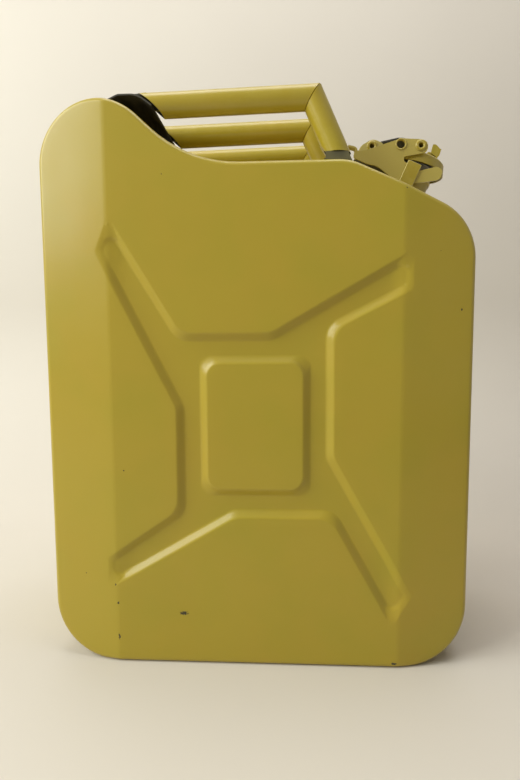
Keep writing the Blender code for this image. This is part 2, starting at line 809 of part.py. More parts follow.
def make_breather_tube(material):
    """The air tube, from inside the neck under the deck to the air space in the hump."""
    beside = NECK_ALONG - (NECK_RADIUS - NECK_WALL - FIT - BREATHER_RADIUS)
    top = SHOULDER_FRAME @ Vector((beside, 0, BREATHER_TOP))
    dip = SHOULDER_FRAME @ Vector((beside, 0, -BREATHER_DIP))
    deck_z = DECK_HEIGHT - BREATHER_DECK_DROP
    path = rounded_path(
        (
            (top.x, top.z, 0),
            (dip.x, dip.z, BREATHER_BEND),
            (BREATHER_FOOT_X, deck_z, BREATHER_BEND),
            (BREATHER_END_X, HUMP_HEIGHT - BREATHER_END_DROP, 0),
        ),
        TIGHT_ARC_STEP,
    )
    bm = bmesh.new()
    outer = []
    inner = []
    for i, point in enumerate(path):
        along = (path[min(i + 1, len(path) - 1)] - path[max(i - 1, 0)]).normalized()
        up = Vector((-along.y, along.x))
        for rings, radius in ((outer, BREATHER_RADIUS), (inner, BREATHER_RADIUS - BREATHER_WALL)):
            ring = []
            for ring_point in circle_points(0, 0, radius, SMALL_SEGMENTS // 2):
                place = point + up * ring_point.x
                ring.append(bm.verts.new((place.x, ring_point.y, place.y)))
            rings.append(ring)
    for rings in (outer, inner):
        for first, second in zip(rings, rings[1:]):
            bridge_rings(bm, first, second)
    bridge_rings(bm, outer[0], inner[0])
    bridge_rings(bm, outer[-1], inner[-1])
    return make_object("breather_tube", bm, material)


def make_hinge_bracket(material):
    """Two ears welded to the neck's rear, joined by a back plate."""
    corners = [
        (x * HINGE_HEIGHT, z * HINGE_HEIGHT, radius * HINGE_HEIGHT)
        for x, z, radius in EAR_CORNER_SHARES
    ]
    outline = rounded_outline(corners, 0, TIGHT_ARC_STEP)
    hole = (-HINGE_BACK, HINGE_HEIGHT, PIN_RADIUS + FIT)
    frame = SHOULDER_FRAME @ Matrix.Translation((NECK_ALONG, 0, 0))
    inner = EAR_INNER_Y
    outer = EAR_INNER_Y + EAR_SHEET
    bracket = make_object(
        "hinge_bracket", plate_mesh(outline, (hole,), -outer, -inner), material, frame
    )
    far_ear = make_object(
        "far_ear", plate_mesh(outline, (hole,), inner, outer), material, frame
    )
    back = box_outline(
        -BACK_PLATE_BEHIND, EAR_SHEET - BACK_PLATE_BEHIND, BACK_PLATE_BOTTOM, BACK_PLATE_TOP
    )
    reach = inner + OVERLAP
    plate = make_object("back_plate", plate_mesh(back, (), -reach, reach), material, frame)
    boolean(bracket, plate, "UNION")
    boolean(bracket, far_ear, "UNION")
    return bracket


def make_hollow_pin(name, seat, material, frame, parent=None):
    """A tubular rivet along Y whose rolled heads lie outside the plates at +seat and -seat."""
    start = seat + FIT
    end = start + PIN_HEAD
    side = (
        (PIN_RADIUS, start),
        (PIN_HEAD_RADIUS, start),
        (PIN_HEAD_RADIUS, start + PIN_HEAD / 2),
        ((PIN_HEAD_RADIUS + PIN_RADIUS) / 2, end),
        (PIN_BORE + PIN_HEAD / 2, end),
        (PIN_BORE, start + PIN_HEAD / 2),
    )
    profile = list(side) + [(radius, -height) for radius, height in reversed(side)]
    bm = lathe_mesh(profile, SMALL_SEGMENTS, True)
    return make_object(name, bm, material, frame @ AXIS_TO_Y, parent)


def make_keeper(name, side, material):
    """A strap beside the neck, welded to it by its foot, that the lever's jaw runs behind."""
    middle = KEEPER_INNER_Y + KEEPER_SHEET / 2
    foot_end = NECK_RADIUS + FIT
    path = rounded_path(
        (
            (side * foot_end, KEEPER_FOOT, 0),
            (side * middle, KEEPER_FOOT, KEEPER_BEND),
            (side * middle, KEEPER_TOP, 0),
        ),
        TIGHT_ARC_STEP,
    )
    outline = thick_line(path, KEEPER_SHEET)
    bm = plate_mesh(outline, (), -KEEPER_HALF_WIDTH, KEEPER_HALF_WIDTH)
    frame = SHOULDER_FRAME @ Matrix.Translation((NECK_ALONG, 0, 0))
    return make_object(name, bm, material, frame @ Matrix.Rotation(math.pi / 2, 4, "Z"))


def make_lid(material, rivet_hole, parent, frame):
    dish = LID_HEIGHT - LID_DISH_DROP
    lip = LID_TOP_RADIUS - LID_SHEET
    profile = (
        (0, dish),
        (LID_DISH_RADIUS, dish),
        (LID_DISH_RADIUS + LID_SHEET, LID_HEIGHT - LID_SHEET / 2),
        (LID_DISH_RADIUS + 2 * LID_SHEET, LID_HEIGHT),
        (lip, LID_HEIGHT),
        (LID_TOP_RADIUS, LID_HEIGHT - LID_SHEET),
        (LID_RADIUS, 0),
        (LID_RADIUS - LID_SHEET, 0),
        (LID_TOP_RADIUS - LID_SHEET, LID_HEIGHT - 2 * LID_SHEET),
        (lip - LID_SHEET / 2, LID_HEIGHT - LID_SHEET),
        (LID_DISH_RADIUS + 2 * LID_SHEET, LID_HEIGHT - LID_SHEET),
        (LID_DISH_RADIUS + LID_SHEET, dish - LID_SHEET / 2),
        (LID_DISH_RADIUS, dish - LID_SHEET),
        (0, dish - LID_SHEET),
    )
    lid = make_object("lid", lathe_mesh(profile, ROUND_SEGMENTS, False), material, frame, parent)
    boolean(lid, rivet_hole, "DIFFERENCE")
    return lid


def make_gasket(material, parent, frame):
    low = NECK_HEIGHT + FIT - (HINGE_HEIGHT - LID_RIM_DROP)
    high = low + GASKET_THICKNESS
    profile = (
        (GASKET_INNER, low),
        (GASKET_OUTER, low),
        (GASKET_OUTER, high),
        (GASKET_INNER, high),
    )
    bm = lathe_mesh(profile, ROUND_SEGMENTS, True)
    return make_object("gasket", bm, material, frame, parent)


def make_gasket_plate(material, rivet_hole, parent, frame):
    gasket_low = NECK_HEIGHT + FIT - (HINGE_HEIGHT - LID_RIM_DROP)
    under_lid = LID_HEIGHT - LID_DISH_DROP - LID_SHEET - FIT
    flange_top = gasket_low - FIT
    slope_inner = GASKET_INNER - RETAINER_SHEET - FIT
    profile = (
        (0, under_lid),
        (slope_inner - RETAINER_SHEET, under_lid),
        (slope_inner, flange_top),
        (RETAINER_RADIUS, flange_top),
        (RETAINER_RADIUS, flange_top - RETAINER_SHEET),
        (slope_inner - RETAINER_SHEET / 2, flange_top - RETAINER_SHEET),
        (slope_inner - 2 * RETAINER_SHEET, under_lid - RETAINER_SHEET),
        (0, under_lid - RETAINER_SHEET),
    )
    bm = lathe_mesh(profile, ROUND_SEGMENTS, False)
    plate = make_object("gasket_plate", bm, material, frame, parent)
    boolean(plate, rivet_hole, "DIFFERENCE")
    return plate


def arm_foot_height():
    return LID_HEIGHT - LID_DISH_DROP + FIT + ARM_SHEET / 2


def make_lid_rivet(material, parent, frame):
    low = LID_HEIGHT - LID_DISH_DROP - LID_SHEET - 2 * FIT - RETAINER_SHEET
    high = arm_foot_height() + ARM_SHEET / 2 + FIT
    profile = (
        (0, high + RIVET_HEAD),
        (RIVET_RADIUS, high + RIVET_HEAD * 0.85),
        (RIVET_HEAD_RADIUS, high + RIVET_HEAD / 3),
        (RIVET_HEAD_RADIUS, high),
        (RIVET_RADIUS, high),
        (RIVET_RADIUS, low),
        (RIVET_HEAD_RADIUS, low),
        (RIVET_HEAD_RADIUS, low - RIVET_HEAD / 2),
        (RIVET_RADIUS, low - RIVET_HEAD),
        (0, low - RIVET_HEAD),
    )
    bm = lathe_mesh(profile, SMALL_SEGMENTS, False)
    place = frame @ Matrix.Translation((RIVET_AHEAD, 0, 0))
    return make_object("lid_rivet", bm, material, place, parent)


def make_rivet_hole(material, parent, frame):
    radius = RIVET_RADIUS + FIT
    reach = LID_HEIGHT + OVERRUN
    profile = ((0, reach), (radius, reach), (radius, -OVERRUN), (0, -OVERRUN))
    bm = lathe_mesh(profile, SMALL_SEGMENTS, False)
    place = frame @ Matrix.Translation((RIVET_AHEAD, 0, 0))
    return as_tool(make_object("rivet_hole", bm, material, place, parent))


def make_lid_arm(material, rivet_hole, parent, frame):
    """The arched arm: a knuckle on the hinge pin, two lugs for the lever's pin, a foot and a tab."""
    foot = arm_foot_height()
    hinge_z = LID_RIM_DROP
    knuckle_middle = (KNUCKLE_RADIUS + PIN_RADIUS + FIT) / 2
    rear_bend = hinge_z + knuckle_middle + (ARM_CREST - hinge_z) * 0.3
    path = rounded_path(
        (
            (-HINGE_BACK, hinge_z + knuckle_middle, 0),
            (-ARM_REAR_BEND, rear_bend, ARM_REAR_BEND / 3),
            (-ARM_CREST_BACK, ARM_CREST, ARM_CREST_BACK / 2),
            (ARM_CREST_FRONT, ARM_CREST, ARM_CREST_BACK / 3),
            (ARM_FOOT_BACK, foot, ARM_FOOT_BACK / 5),
            (ARM_TAB_FOOT, foot, ARM_FOOT_BACK / 6),
            (ARM_TAB_FOOT + ARM_TAB_LEAN, ARM_TAB_HEIGHT, 0),
        ),
        TIGHT_ARC_STEP,
    )
    outline = thick_line(path, ARM_SHEET)
    strap = plate_mesh(outline, (), -ARM_HALF_WIDTH, ARM_HALF_WIDTH)
    arm = make_object("lid_arm", strap, material, frame, parent)
    lug_bottom = LID_HEIGHT - LID_DISH_DROP + FIT
    lug = rounded_outline(
        (
            (-LUG_HALF_WIDTH / 2, lug_bottom, 0),
            (LUG_HALF_WIDTH / 2, lug_bottom, 0),
            (LUG_HALF_WIDTH, PIVOT_RISE, LUG_HALF_WIDTH),
            (LUG_HALF_WIDTH / 3, ARM_CREST, 0),
            (-LUG_HALF_WIDTH, ARM_CREST, 0),
            (-LUG_HALF_WIDTH, PIVOT_RISE, LUG_HALF_WIDTH),
        ),
        0,
        TIGHT_ARC_STEP,
    )
    hole = (0, PIVOT_RISE, PIN_RADIUS + FIT)
    tab = rounded_outline(
        [tuple(share * ARM_TAB_HEIGHT for share in corner) for corner in TAB_CORNER_SHARES],
        0,
        TIGHT_ARC_STEP,
    )
    inner = ARM_HALF_WIDTH - ARM_SHEET
    for side, near, far in (("near", -ARM_HALF_WIDTH, -inner), ("far", inner, ARM_HALF_WIDTH)):
        for kind, outline, holes in (("lug", lug, (hole,)), ("flange", tab, ())):
            bm = plate_mesh(outline, holes, near, far)
            boolean(arm, make_object(side + "_" + kind, bm, material, frame, parent), "UNION")
    half = EAR_INNER_Y - FIT
    bore = PIN_RADIUS + FIT
    ring = ((bore, -half), (KNUCKLE_RADIUS, -half), (KNUCKLE_RADIUS, half), (bore, half))
    place = frame @ Matrix.Translation((-HINGE_BACK, 0, hinge_z)) @ AXIS_TO_Y
    knuckle = make_object("knuckle", lathe_mesh(ring, SMALL_SEGMENTS, True), material, place, parent)
    boolean(arm, knuckle, "UNION")
    boolean(arm, rivet_hole, "DIFFERENCE")
    return arm


def make_cheek(name, side, material, parent, frame):
    """One side plate of the lever, with a curled lip at its rear that a finger lifts."""
    corners = [
        (x * CHEEK_LENGTH, z * CHEEK_HEIGHT, radius * CHEEK_HEIGHT)
        for x, z, radius in CHEEK_CORNER_SHARES
    ]
    outline = rounded_outline(corners, 0, TIGHT_ARC_STEP)
    pin_hole = (0, PIVOT_RISE, PIN_RADIUS + FIT)
    eye_hole = (-EYE_BACK, EYE_RISE, EYE_RADIUS + EYE_WALL + FIT)
    edges = sorted((side * CHEEK_INNER_Y, side * (CHEEK_INNER_Y + CHEEK_SHEET)))
    cheek = make_object(name, plate_mesh(outline, (pin_hole, eye_hole), *edges), material, frame, parent)
    rear_x, rear_z, _ = corners[0]
    lip = thick_line(
        rounded_path(
            (
                (rear_x + 2 * CHEEK_SHEET, rear_z - 3 * CHEEK_SHEET, 0),
                (rear_x + CHEEK_SHEET, rear_z + 2 * CHEEK_SHEET, 2 * CHEEK_SHEET),
                (rear_x - 4 * CHEEK_SHEET, rear_z + 2 * CHEEK_SHEET, 0),
            ),
            TIGHT_ARC_STEP,
        ),
        CHEEK_SHEET,
    )
    reach = sorted((side * LIP_INNER_Y, side * (CHEEK_INNER_Y + CHEEK_SHEET / 2)))
    curl = make_object(name + "_lip", plate_mesh(lip, (), *reach), material, frame, parent)
    boolean(cheek, curl, "UNION")
    return cheek


def make_eyelet(name, side, material, parent, frame):
    outer = EYE_RADIUS + EYE_WALL
    half = CHEEK_SHEET / 2 + FIT
    profile = (
        (EYE_RADIUS, -half - EYE_RIM / 2),
        (outer, -half - EYE_RIM),
        (EYE_RIM_RADIUS, -half - EYE_RIM / 2),
        (EYE_RIM_RADIUS, -half),
        (outer, -half),
        (outer, half),
        (EYE_RIM_RADIUS, half),
        (EYE_RIM_RADIUS, half + EYE_RIM / 2),
        (outer, half + EYE_RIM),
        (EYE_RADIUS, half + EYE_RIM / 2),
    )
    middle = side * (CHEEK_INNER_Y + CHEEK_SHEET / 2)
    place = frame @ Matrix.Translation((-EYE_BACK, middle, EYE_RISE)) @ AXIS_TO_Y
    return make_object(name, lathe_mesh(profile, SMALL_SEGMENTS, True), material, place, parent)


def main():
    clear_scene()
    paint = principled("mustard_enamel", (0.42, 0.32, 0.035), 0.28, 0.0)
    bare_steel = principled("zinc_plated_steel", (0.45, 0.43, 0.36), 0.35, 1.0)
    rubber = principled("black_rubber", (0.02, 0.02, 0.02), 0.75, 0.0)

    neck_hole = make_neck_hole(paint)
    make_shell("front_shell", -1, paint, neck_hole)
    make_shell("rear_shell", 1, paint, neck_hole)
    make_seam_weld(paint)
    make_handle("front_handle", -HANDLE_SPACING, paint)
    make_handle("middle_handle", 0, paint)
    make_handle("rear_handle", HANDLE_SPACING, paint)
    make_neck(paint)
    make_breather_tube(bare_steel)
    make_hinge_bracket(paint)
    make_keeper("front_keeper", -1, paint)
    make_keeper("rear_keeper", 1, paint)

    hinge_frame = SHOULDER_FRAME @ Matrix.Translation((HINGE_ALONG, 0, HINGE_HEIGHT))
    make_hollow_pin("hinge_pin", EAR_INNER_Y + EAR_SHEET, paint, hinge_frame)
    hinge = make_empty("lid_axis", hinge_frame @ Matrix.Rotation(-LID_AJAR, 4, "Y"))
    from_hinge = Matrix.Translation((HINGE_BACK, 0, -LID_RIM_DROP))
    rivet_hole = make_rivet_hole(paint, hinge, from_hinge)
    make_lid(paint, rivet_hole, hinge, from_hinge)
    make_gasket(rubber, hinge, from_hinge)
    make_gasket_plate(bare_steel, rivet_hole, hinge, from_hinge)
    make_lid_arm(paint, rivet_hole, hinge, from_hinge)
    make_lid_rivet(paint, hinge, from_hinge)

    lever = make_empty("lever_axis", from_hinge @ Matrix.Translation((0, 0, PIVOT_RISE)), hinge)
    from_pivot = Matrix.Translation((0, 0, -PIVOT_RISE))
    make_cheek("front_cheek", -1, paint, lever, from_pivot)
    make_cheek("rear_cheek", 1, paint, lever, from_pivot)
    make_eyelet("front_eyelet", -1, paint, lever, from_pivot)
    make_eyelet("rear_eyelet", 1, paint, lever, from_pivot)
    make_hollow_pin("lever_pin", CHEEK_INNER_Y + CHEEK_SHEET, paint, Matrix.Identity(4), lever)


main()
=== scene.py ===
"""The looks of a 20 litre steel jerry can: pressed shells, softened sheet edges and old enamel.

Lengths are in metres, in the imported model's frame: +X towards the closure, +Y to the rear, +Z up.
"""

import json
import math

import bmesh
import bpy
import numpy as np
from mathutils import Matrix, Vector, noise
from mathutils.geometry import delaunay_2d_cdt

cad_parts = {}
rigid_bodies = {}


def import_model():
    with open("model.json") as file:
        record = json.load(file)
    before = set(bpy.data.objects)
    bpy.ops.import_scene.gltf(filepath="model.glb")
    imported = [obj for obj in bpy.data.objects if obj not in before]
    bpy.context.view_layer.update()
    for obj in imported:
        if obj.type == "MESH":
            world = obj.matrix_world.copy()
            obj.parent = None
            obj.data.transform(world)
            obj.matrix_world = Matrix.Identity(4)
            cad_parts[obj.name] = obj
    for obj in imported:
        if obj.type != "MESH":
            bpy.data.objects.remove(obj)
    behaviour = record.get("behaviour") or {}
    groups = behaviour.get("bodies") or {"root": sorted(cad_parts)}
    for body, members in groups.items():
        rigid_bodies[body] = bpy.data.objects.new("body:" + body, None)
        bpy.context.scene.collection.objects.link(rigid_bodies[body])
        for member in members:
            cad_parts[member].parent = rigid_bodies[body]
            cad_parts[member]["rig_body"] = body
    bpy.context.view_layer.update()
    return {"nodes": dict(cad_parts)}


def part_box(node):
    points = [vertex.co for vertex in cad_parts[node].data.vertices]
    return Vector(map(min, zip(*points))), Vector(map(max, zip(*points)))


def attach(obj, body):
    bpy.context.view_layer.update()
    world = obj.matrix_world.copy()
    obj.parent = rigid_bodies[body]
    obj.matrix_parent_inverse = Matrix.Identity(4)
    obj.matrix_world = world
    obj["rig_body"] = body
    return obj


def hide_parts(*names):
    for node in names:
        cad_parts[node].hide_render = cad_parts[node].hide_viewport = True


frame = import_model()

SHELL_LOW, SHELL_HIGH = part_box("front_shell")

# Body
HALF_LENGTH = SHELL_HIGH.x
HALF_DEPTH = -SHELL_LOW.y
HUMP_HEIGHT = SHELL_HIGH.z
DECK_HEIGHT = 0.4035
DECK_FRONT_X = 0.0734
HUMP_EDGE_X = -0.1043
SHOULDER_ANGLE = math.radians(24)
HUMP_ANGLE = math.radians(43)
FOOT_RADIUS = 0.048
SHOULDER_RADIUS = 0.046
DECK_FRONT_RADIUS = 0.040
DECK_REAR_RADIUS = 0.100
HUMP_EDGE_RADIUS = 0.050
HUMP_CORNER_RADIUS = 0.048
SHEET = 0.001
EDGE_RADIUS = 0.0042
FLANK_WIDTH = 0.0575
FLANK_DROP = 0.011
CREASE_X = HALF_LENGTH - FLANK_WIDTH
CREASE_BLEND = 0.0022
CREASE_CUT_SHARES = (-1, -0.5, 0, 0.5, 1)
GROOVE_DEPTH = 0.006
GROOVE_HALF_WIDTH = 0.0085
GROOVE_WALL = 0.002
GROOVE_RUNOUT = 0.008
GROOVE_LEAST_SHARE = 0.1
FIN_SHARE = 0.6
SEAM_GAP = 0.0003
EMBOSS_DEPTH = 0.0042
EMBOSS_WALL = 0.008
ARM_RADIUS = 0.0075
CROTCH_RADIUS = 0.015
FIELD_LENGTH = 0.082
FIELD_HEIGHT = 0.107
FIELD_CENTRE_Z = 0.1986
FIELD_RADIUS = 0.0135
WALL_STEPS = 10
WALL_BEND = 0.28
ARM_FADE_START = CREASE_X - 0.013
ARM_FADE_LENGTH = 0.022
ARM_FADE_SHARE = 0.72
SHEET_WAVE = 0.00018
SHEET_WAVE_LENGTH = 0.085

# Neck
NECK_ALONG = 0.0496
NECK_RADIUS = 0.022
NECK_CLEARANCE = 0.0003
COLLAR_RADIUS = 0.0265
CUTTER_REACH = 0.014
CUTTER_SEGMENTS = 64

# Handles
HANDLE_SPACING = 0.0641
HANDLE_RADIUS = 0.0096
HANDLE_SHEET = 0.0012
HANDLE_BEND = Vector((DECK_FRONT_X - 0.0275, HUMP_HEIGHT + 0.0011))
HANDLE_BAR = Vector((1, 0.023)).normalized()
HANDLE_LEG_ANGLE = math.radians(24)
HANDLE_LEG = Vector((math.sin(HANDLE_LEG_ANGLE), -math.cos(HANDLE_LEG_ANGLE)))
HANDLE_SEAM_ANGLE = math.radians(4)
HANDLE_REAR_LOW_X = HUMP_EDGE_X + 0.0331
HANDLE_REAR_HIGH_X = HUMP_EDGE_X + 0.0128
REAR_CUT_BEND = 1.2
LEG_SIDE_GAP = 0.0085
LEG_INNER_RISE = 0.007
LEG_INNER_SHARE = 0.8
FOOT_WALL_Y = 0.0075
FOOT_BACK = DECK_FRONT_X - 0.0179
FOOT_FRONT = DECK_FRONT_X + 0.0026
FOOT_FRONT_REACH = 0.0075
FIT = 0.0003
TONGUE_HALF_WIDTH = HANDLE_SPACING / 2 - FIT / 2
TONGUE_OUTER_Y = 0.072
TONGUE_REAR_X = HUMP_EDGE_X - 0.0327
TONGUE_LAND_X = HUMP_EDGE_X - 0.0095
TONGUE_CREST_REAR_X = HUMP_EDGE_X - 0.0019
TONGUE_CREST_FRONT_X = HUMP_EDGE_X + 0.0134
TONGUE_CREST_RISE = 0.0043
TONGUE_FRONT_X = HUMP_EDGE_X + 0.0246
TONGUE_FRONT_DROP = 0.004
TONGUE_LAND_RADIUS = 0.008
TONGUE_CREST_RADIUS = 0.018
RIDGE_REACH = 0.007
RIDGE_WIDTH_SHARE = 0.42
MITRE_GAP = 0.0005
MITRE_DEPTH = 0.0008
SECTION_SEGMENTS = 72
HANDLE_EDGE = 0.00025

# Where the handles' and the lid arm's sheet is painted dark as shade; a facing is a part of the
# face's normal
UPWARD_FACING = 0.5
SIDE_FACING = 0.7
UNDER_TONGUE_FACING = -0.3
REAR_EDGE_FACING = -0.3
UNDER_ARM_FACING = -0.35
FOOT_SHADE_MARGIN = 0.0008
INNER_SHEET_SHARE = 0.6
ARM_SHADE_START = 0.104
ARM_SHADE_END = 0.149

# Mesh fineness
ARC_STEP = math.radians(5)
TIGHT_ARC_STEP = math.radians(9)
LEAST_TURN = math.radians(1)
EDGE_STEPS = 6
FACE_GRID = 0.0065
GRID_EDGE_GAP = FACE_GRID / 2
GRID_WALL_GAP = FACE_GRID / 3
SMOOTH_ANGLE = math.radians(32)
BEVEL_SEGMENTS = 2
BEVEL_ANGLE = math.radians(38)
FLAT_ANGLE = math.radians(0.8)
WELD_DISTANCE = 1e-6
CUT_TOLERANCE = 1e-7
MITRE_TOLERANCE = 1e-5
SKIN_TOLERANCE = 1e-9
LEAST_SQUARE = 1e-12

# Camera, fitted to the photograph
IMAGE_HEIGHT = 780
FOCAL_PIXELS = 524.0
CAMERA_PLACE = (0.0266, -0.4924, 0.2655)
CAMERA_YAW = math.radians(3.12)
CAMERA_PITCH = math.radians(5.178)
CAMERA_ROLL = math.radians(-0.36)
SENSOR_HEIGHT = 24.0
NEAR_CLIP = 0.01

# Studio: the room's light, the room as it is seen and reflected, three lamps and a backdrop
ROOM_LIGHT = (0.93, 0.90, 0.86, 1)
ROOM_STRENGTH = 0.125
SEEN_ROOM = (0.80, 0.76, 0.70, 1)
LAMPS = (  # name, place, target, size, power and colour
    ("window", (-1.5, -0.75, 1.2), (0, 0, 0.25), (1.3, 1.3), 36, (0.97, 1.0, 0.92)),
    ("ceiling", (0.1, -0.05, 1.9), (0.1, 0, 0), (1.4, 0.8), 16, (1.0, 0.98, 0.95)),
    ("front_fill", (-0.35, -1.1, 1.2), (-0.02, 0, 0.42), (0.8, 0.8), 2.5, (1.0, 0.95, 0.90)),
)
UNMIRRORED_LAMP = "front_fill"
BACKDROP_BACK = 0.55
BACKDROP_FRONT = -1.6
BACKDROP_HALF_WIDTH = 2.2
BACKDROP_HEIGHT = 2.0
BACKDROP_BEND = 0.35
BACKDROP_STEPS = 12
BACKDROP_TONES = (0.625, 0.58, 0.52, 1), (0.665, 0.62, 0.555, 1)
BACKDROP_ROUGHNESS = 0.6

# Corners of the embossed recess: shares of CREASE_X and of DECK_HEIGHT, and whether it ends an arm
CROSS_CORNER_SHARES = (
    (-1.061, 0.835, True),
    (-0.522, 0.531, False),
    (-0.524, 0.318, False),
    (-1.039, 0.218, True),
    (-1.039, 0.168, True),
    (-0.151, 0.316, False),
    (0.538, 0.316, False),
    (0.952, 0.102, True),
    (1.065, 0.151, True),
    (0.515, 0.431, False),
    (0.513, 0.686, False),
    (1.039, 0.762, True),
    (1.039, 0.819, True),
    (0.117, 0.669, False),
    (-0.522, 0.669, False),
    (-0.983, 0.886, True),
)

SHOULDER_FRAME = (
    Matrix.Translation((DECK_FRONT_X, 0, DECK_HEIGHT)) @ Matrix.Rotation(SHOULDER_ANGLE, 4, "Y")
)


# Outlines

def corner_arc(before, corner, after, radius, step):
    """The points that round off one corner."""
    inward = (corner - before).normalized()
    outward = (after - corner).normalized()
    turn = math.atan2(inward.cross(outward), inward.dot(outward))
    if abs(turn) < LEAST_TURN or radius <= 0:
        return [corner.copy()]
    start = corner - inward * radius * math.tan(abs(turn) / 2)
    centre = start + Vector((-inward.y, inward.x)) * math.copysign(radius, turn)
    count = max(1, round(abs(turn) / step))
    arm = start - centre
    return [centre + Matrix.Rotation(turn * i / count, 2) @ arm for i in range(count + 1)]


def box_outline(left, right, low, high):
    return [Vector((left, low)), Vector((right, low)), Vector((right, high)), Vector((left, high))]


def rounded_outline(corners, inset, step):
    """A closed outline of (x, z, radius) corners, moved inwards with its arcs kept concentric."""
    points = [Vector(corner[:2]) for corner in corners]
    count = len(points)
    moved = []
    radii = []
    for i, corner in enumerate(points):
        inward = (corner - points[i - 1]).normalized()
        outward = (points[(i + 1) % count] - corner).normalized()
        left_in = Vector((-inward.y, inward.x))
        across = (left_in + Vector((-outward.y, outward.x))).normalized()
        moved.append(corner + across * (inset / across.dot(left_in)))
        radii.append(corners[i][2] - math.copysign(inset, inward.cross(outward)))
    outline = []
    for i, corner in enumerate(moved):
        radius = radii[i] if corners[i][2] > 0 else 0
        outline += corner_arc(moved[i - 1], corner, moved[(i + 1) % count], radius, step)
    return outline


def body_corners():
    shoulder_z = DECK_HEIGHT - math.tan(SHOULDER_ANGLE) * (HALF_LENGTH - DECK_FRONT_X)
    deck_rear_x = HUMP_EDGE_X + (HUMP_HEIGHT - DECK_HEIGHT) / math.tan(HUMP_ANGLE)
    corners = [
        (-HALF_LENGTH, 0, FOOT_RADIUS),
        (HALF_LENGTH, 0, FOOT_RADIUS),
        (HALF_LENGTH, shoulder_z, SHOULDER_RADIUS),
    ]
    reach = COLLAR_RADIUS + NECK_CLEARANCE
    for along in (NECK_ALONG + reach, NECK_ALONG - reach, NECK_ALONG - reach - GROOVE_RUNOUT):
        on_shoulder = SHOULDER_FRAME @ Vector((along, 0, 0))
        corners.append((on_shoulder.x, on_shoulder.z, 0))
    return corners + [
        (DECK_FRONT_X, DECK_HEIGHT, DECK_FRONT_RADIUS),
        (deck_rear_x, DECK_HEIGHT, DECK_REAR_RADIUS),
        (HUMP_EDGE_X, HUMP_HEIGHT, HUMP_EDGE_RADIUS),
        (-HALF_LENGTH, HUMP_HEIGHT, HUMP_CORNER_RADIUS),
    ]


def cross_corners():
    corners = []
    for x_share, z_share, arm_end in CROSS_CORNER_SHARES:
        radius = ARM_RADIUS if arm_end else CROTCH_RADIUS
        corners.append((x_share * CREASE_X, z_share * DECK_HEIGHT, radius))
    return corners


def field_corners():
    half = FIELD_LENGTH / 2
    low = FIELD_CENTRE_Z - FIELD_HEIGHT / 2
    high = FIELD_CENTRE_Z + FIELD_HEIGHT / 2
    return [(corner.x, corner.y, FIELD_RADIUS) for corner in box_outline(-half, half, low, high)]


def split_counts(outline):
    """How many parts each edge of an outline is split into, to match the grid."""
    sizes = [(outline[(i + 1) % len(outline)] - p).length for i, p in enumerate(outline)]
    return [max(1, round(size / FACE_GRID)) for size in sizes]


def split_outline(outline, counts):
    points = []
    for i, (start, count) in enumerate(zip(outline, counts)):
        end = outline[(i + 1) % len(outline)]
        points += [start.lerp(end, k / count) for k in range(count)]
    return points


def as_array(outline):
    return np.array([tuple(point) for point in outline])


def inside_mask(points, outline):
    """Which of the points lie inside a closed outline."""
    ends = as_array(outline)
    starts = np.roll(ends, 1, axis=0)
    hits = np.zeros(len(points), int)
    for (x0, z0), (x1, z1) in zip(starts, ends):
        crosses = (z0 > points[:, 1]) != (z1 > points[:, 1])
        rise = z1 - z0 if z1 != z0 else 1
        hits += crosses & (x0 + (points[:, 1] - z0) * (x1 - x0) / rise > points[:, 0])
    return hits % 2 == 1


def distance_to(points, outline):
    ends = as_array(outline)
    starts = np.roll(ends, 1, axis=0)
    nearest = np.full(len(points), np.inf)
    for start, end in zip(starts, ends):
        along = end - start
        share = np.clip((points - start) @ along / max(along @ along, LEAST_SQUARE), 0, 1)
        gaps = np.linalg.norm(points - start - share[:, None] * along, axis=1)
        nearest = np.minimum(nearest, gaps)
    return nearest


# Pressed shells

def wall_share(along):
    """How far down a pressed wall is at a share of its width: straight, bent at both ends."""
    if along > 1 - WALL_BEND:
        return 1 - wall_share(1 - along)
    if along < WALL_BEND:
        return along * along / (2 * WALL_BEND * (1 - WALL_BEND))
    return (along - WALL_BEND / 2) / (1 - WALL_BEND)


def face_grid(edge, cross, field):
    """The grid's points inside the edge that keep clear of it and of the embossed walls."""
    xs = np.arange(-HALF_LENGTH, HALF_LENGTH, FACE_GRID)
    zs = np.arange(0, HUMP_HEIGHT, FACE_GRID)
    grid = np.array([(x, z) for x in xs for z in zs])
    wall_reach = EMBOSS_WALL / 2 + GRID_WALL_GAP
    free = inside_mask(grid, edge) & (distance_to(grid, edge) > GRID_EDGE_GAP)
    free &= distance_to(grid, cross) > wall_reach
    free &= distance_to(grid, field) > wall_reach
    return grid[free]


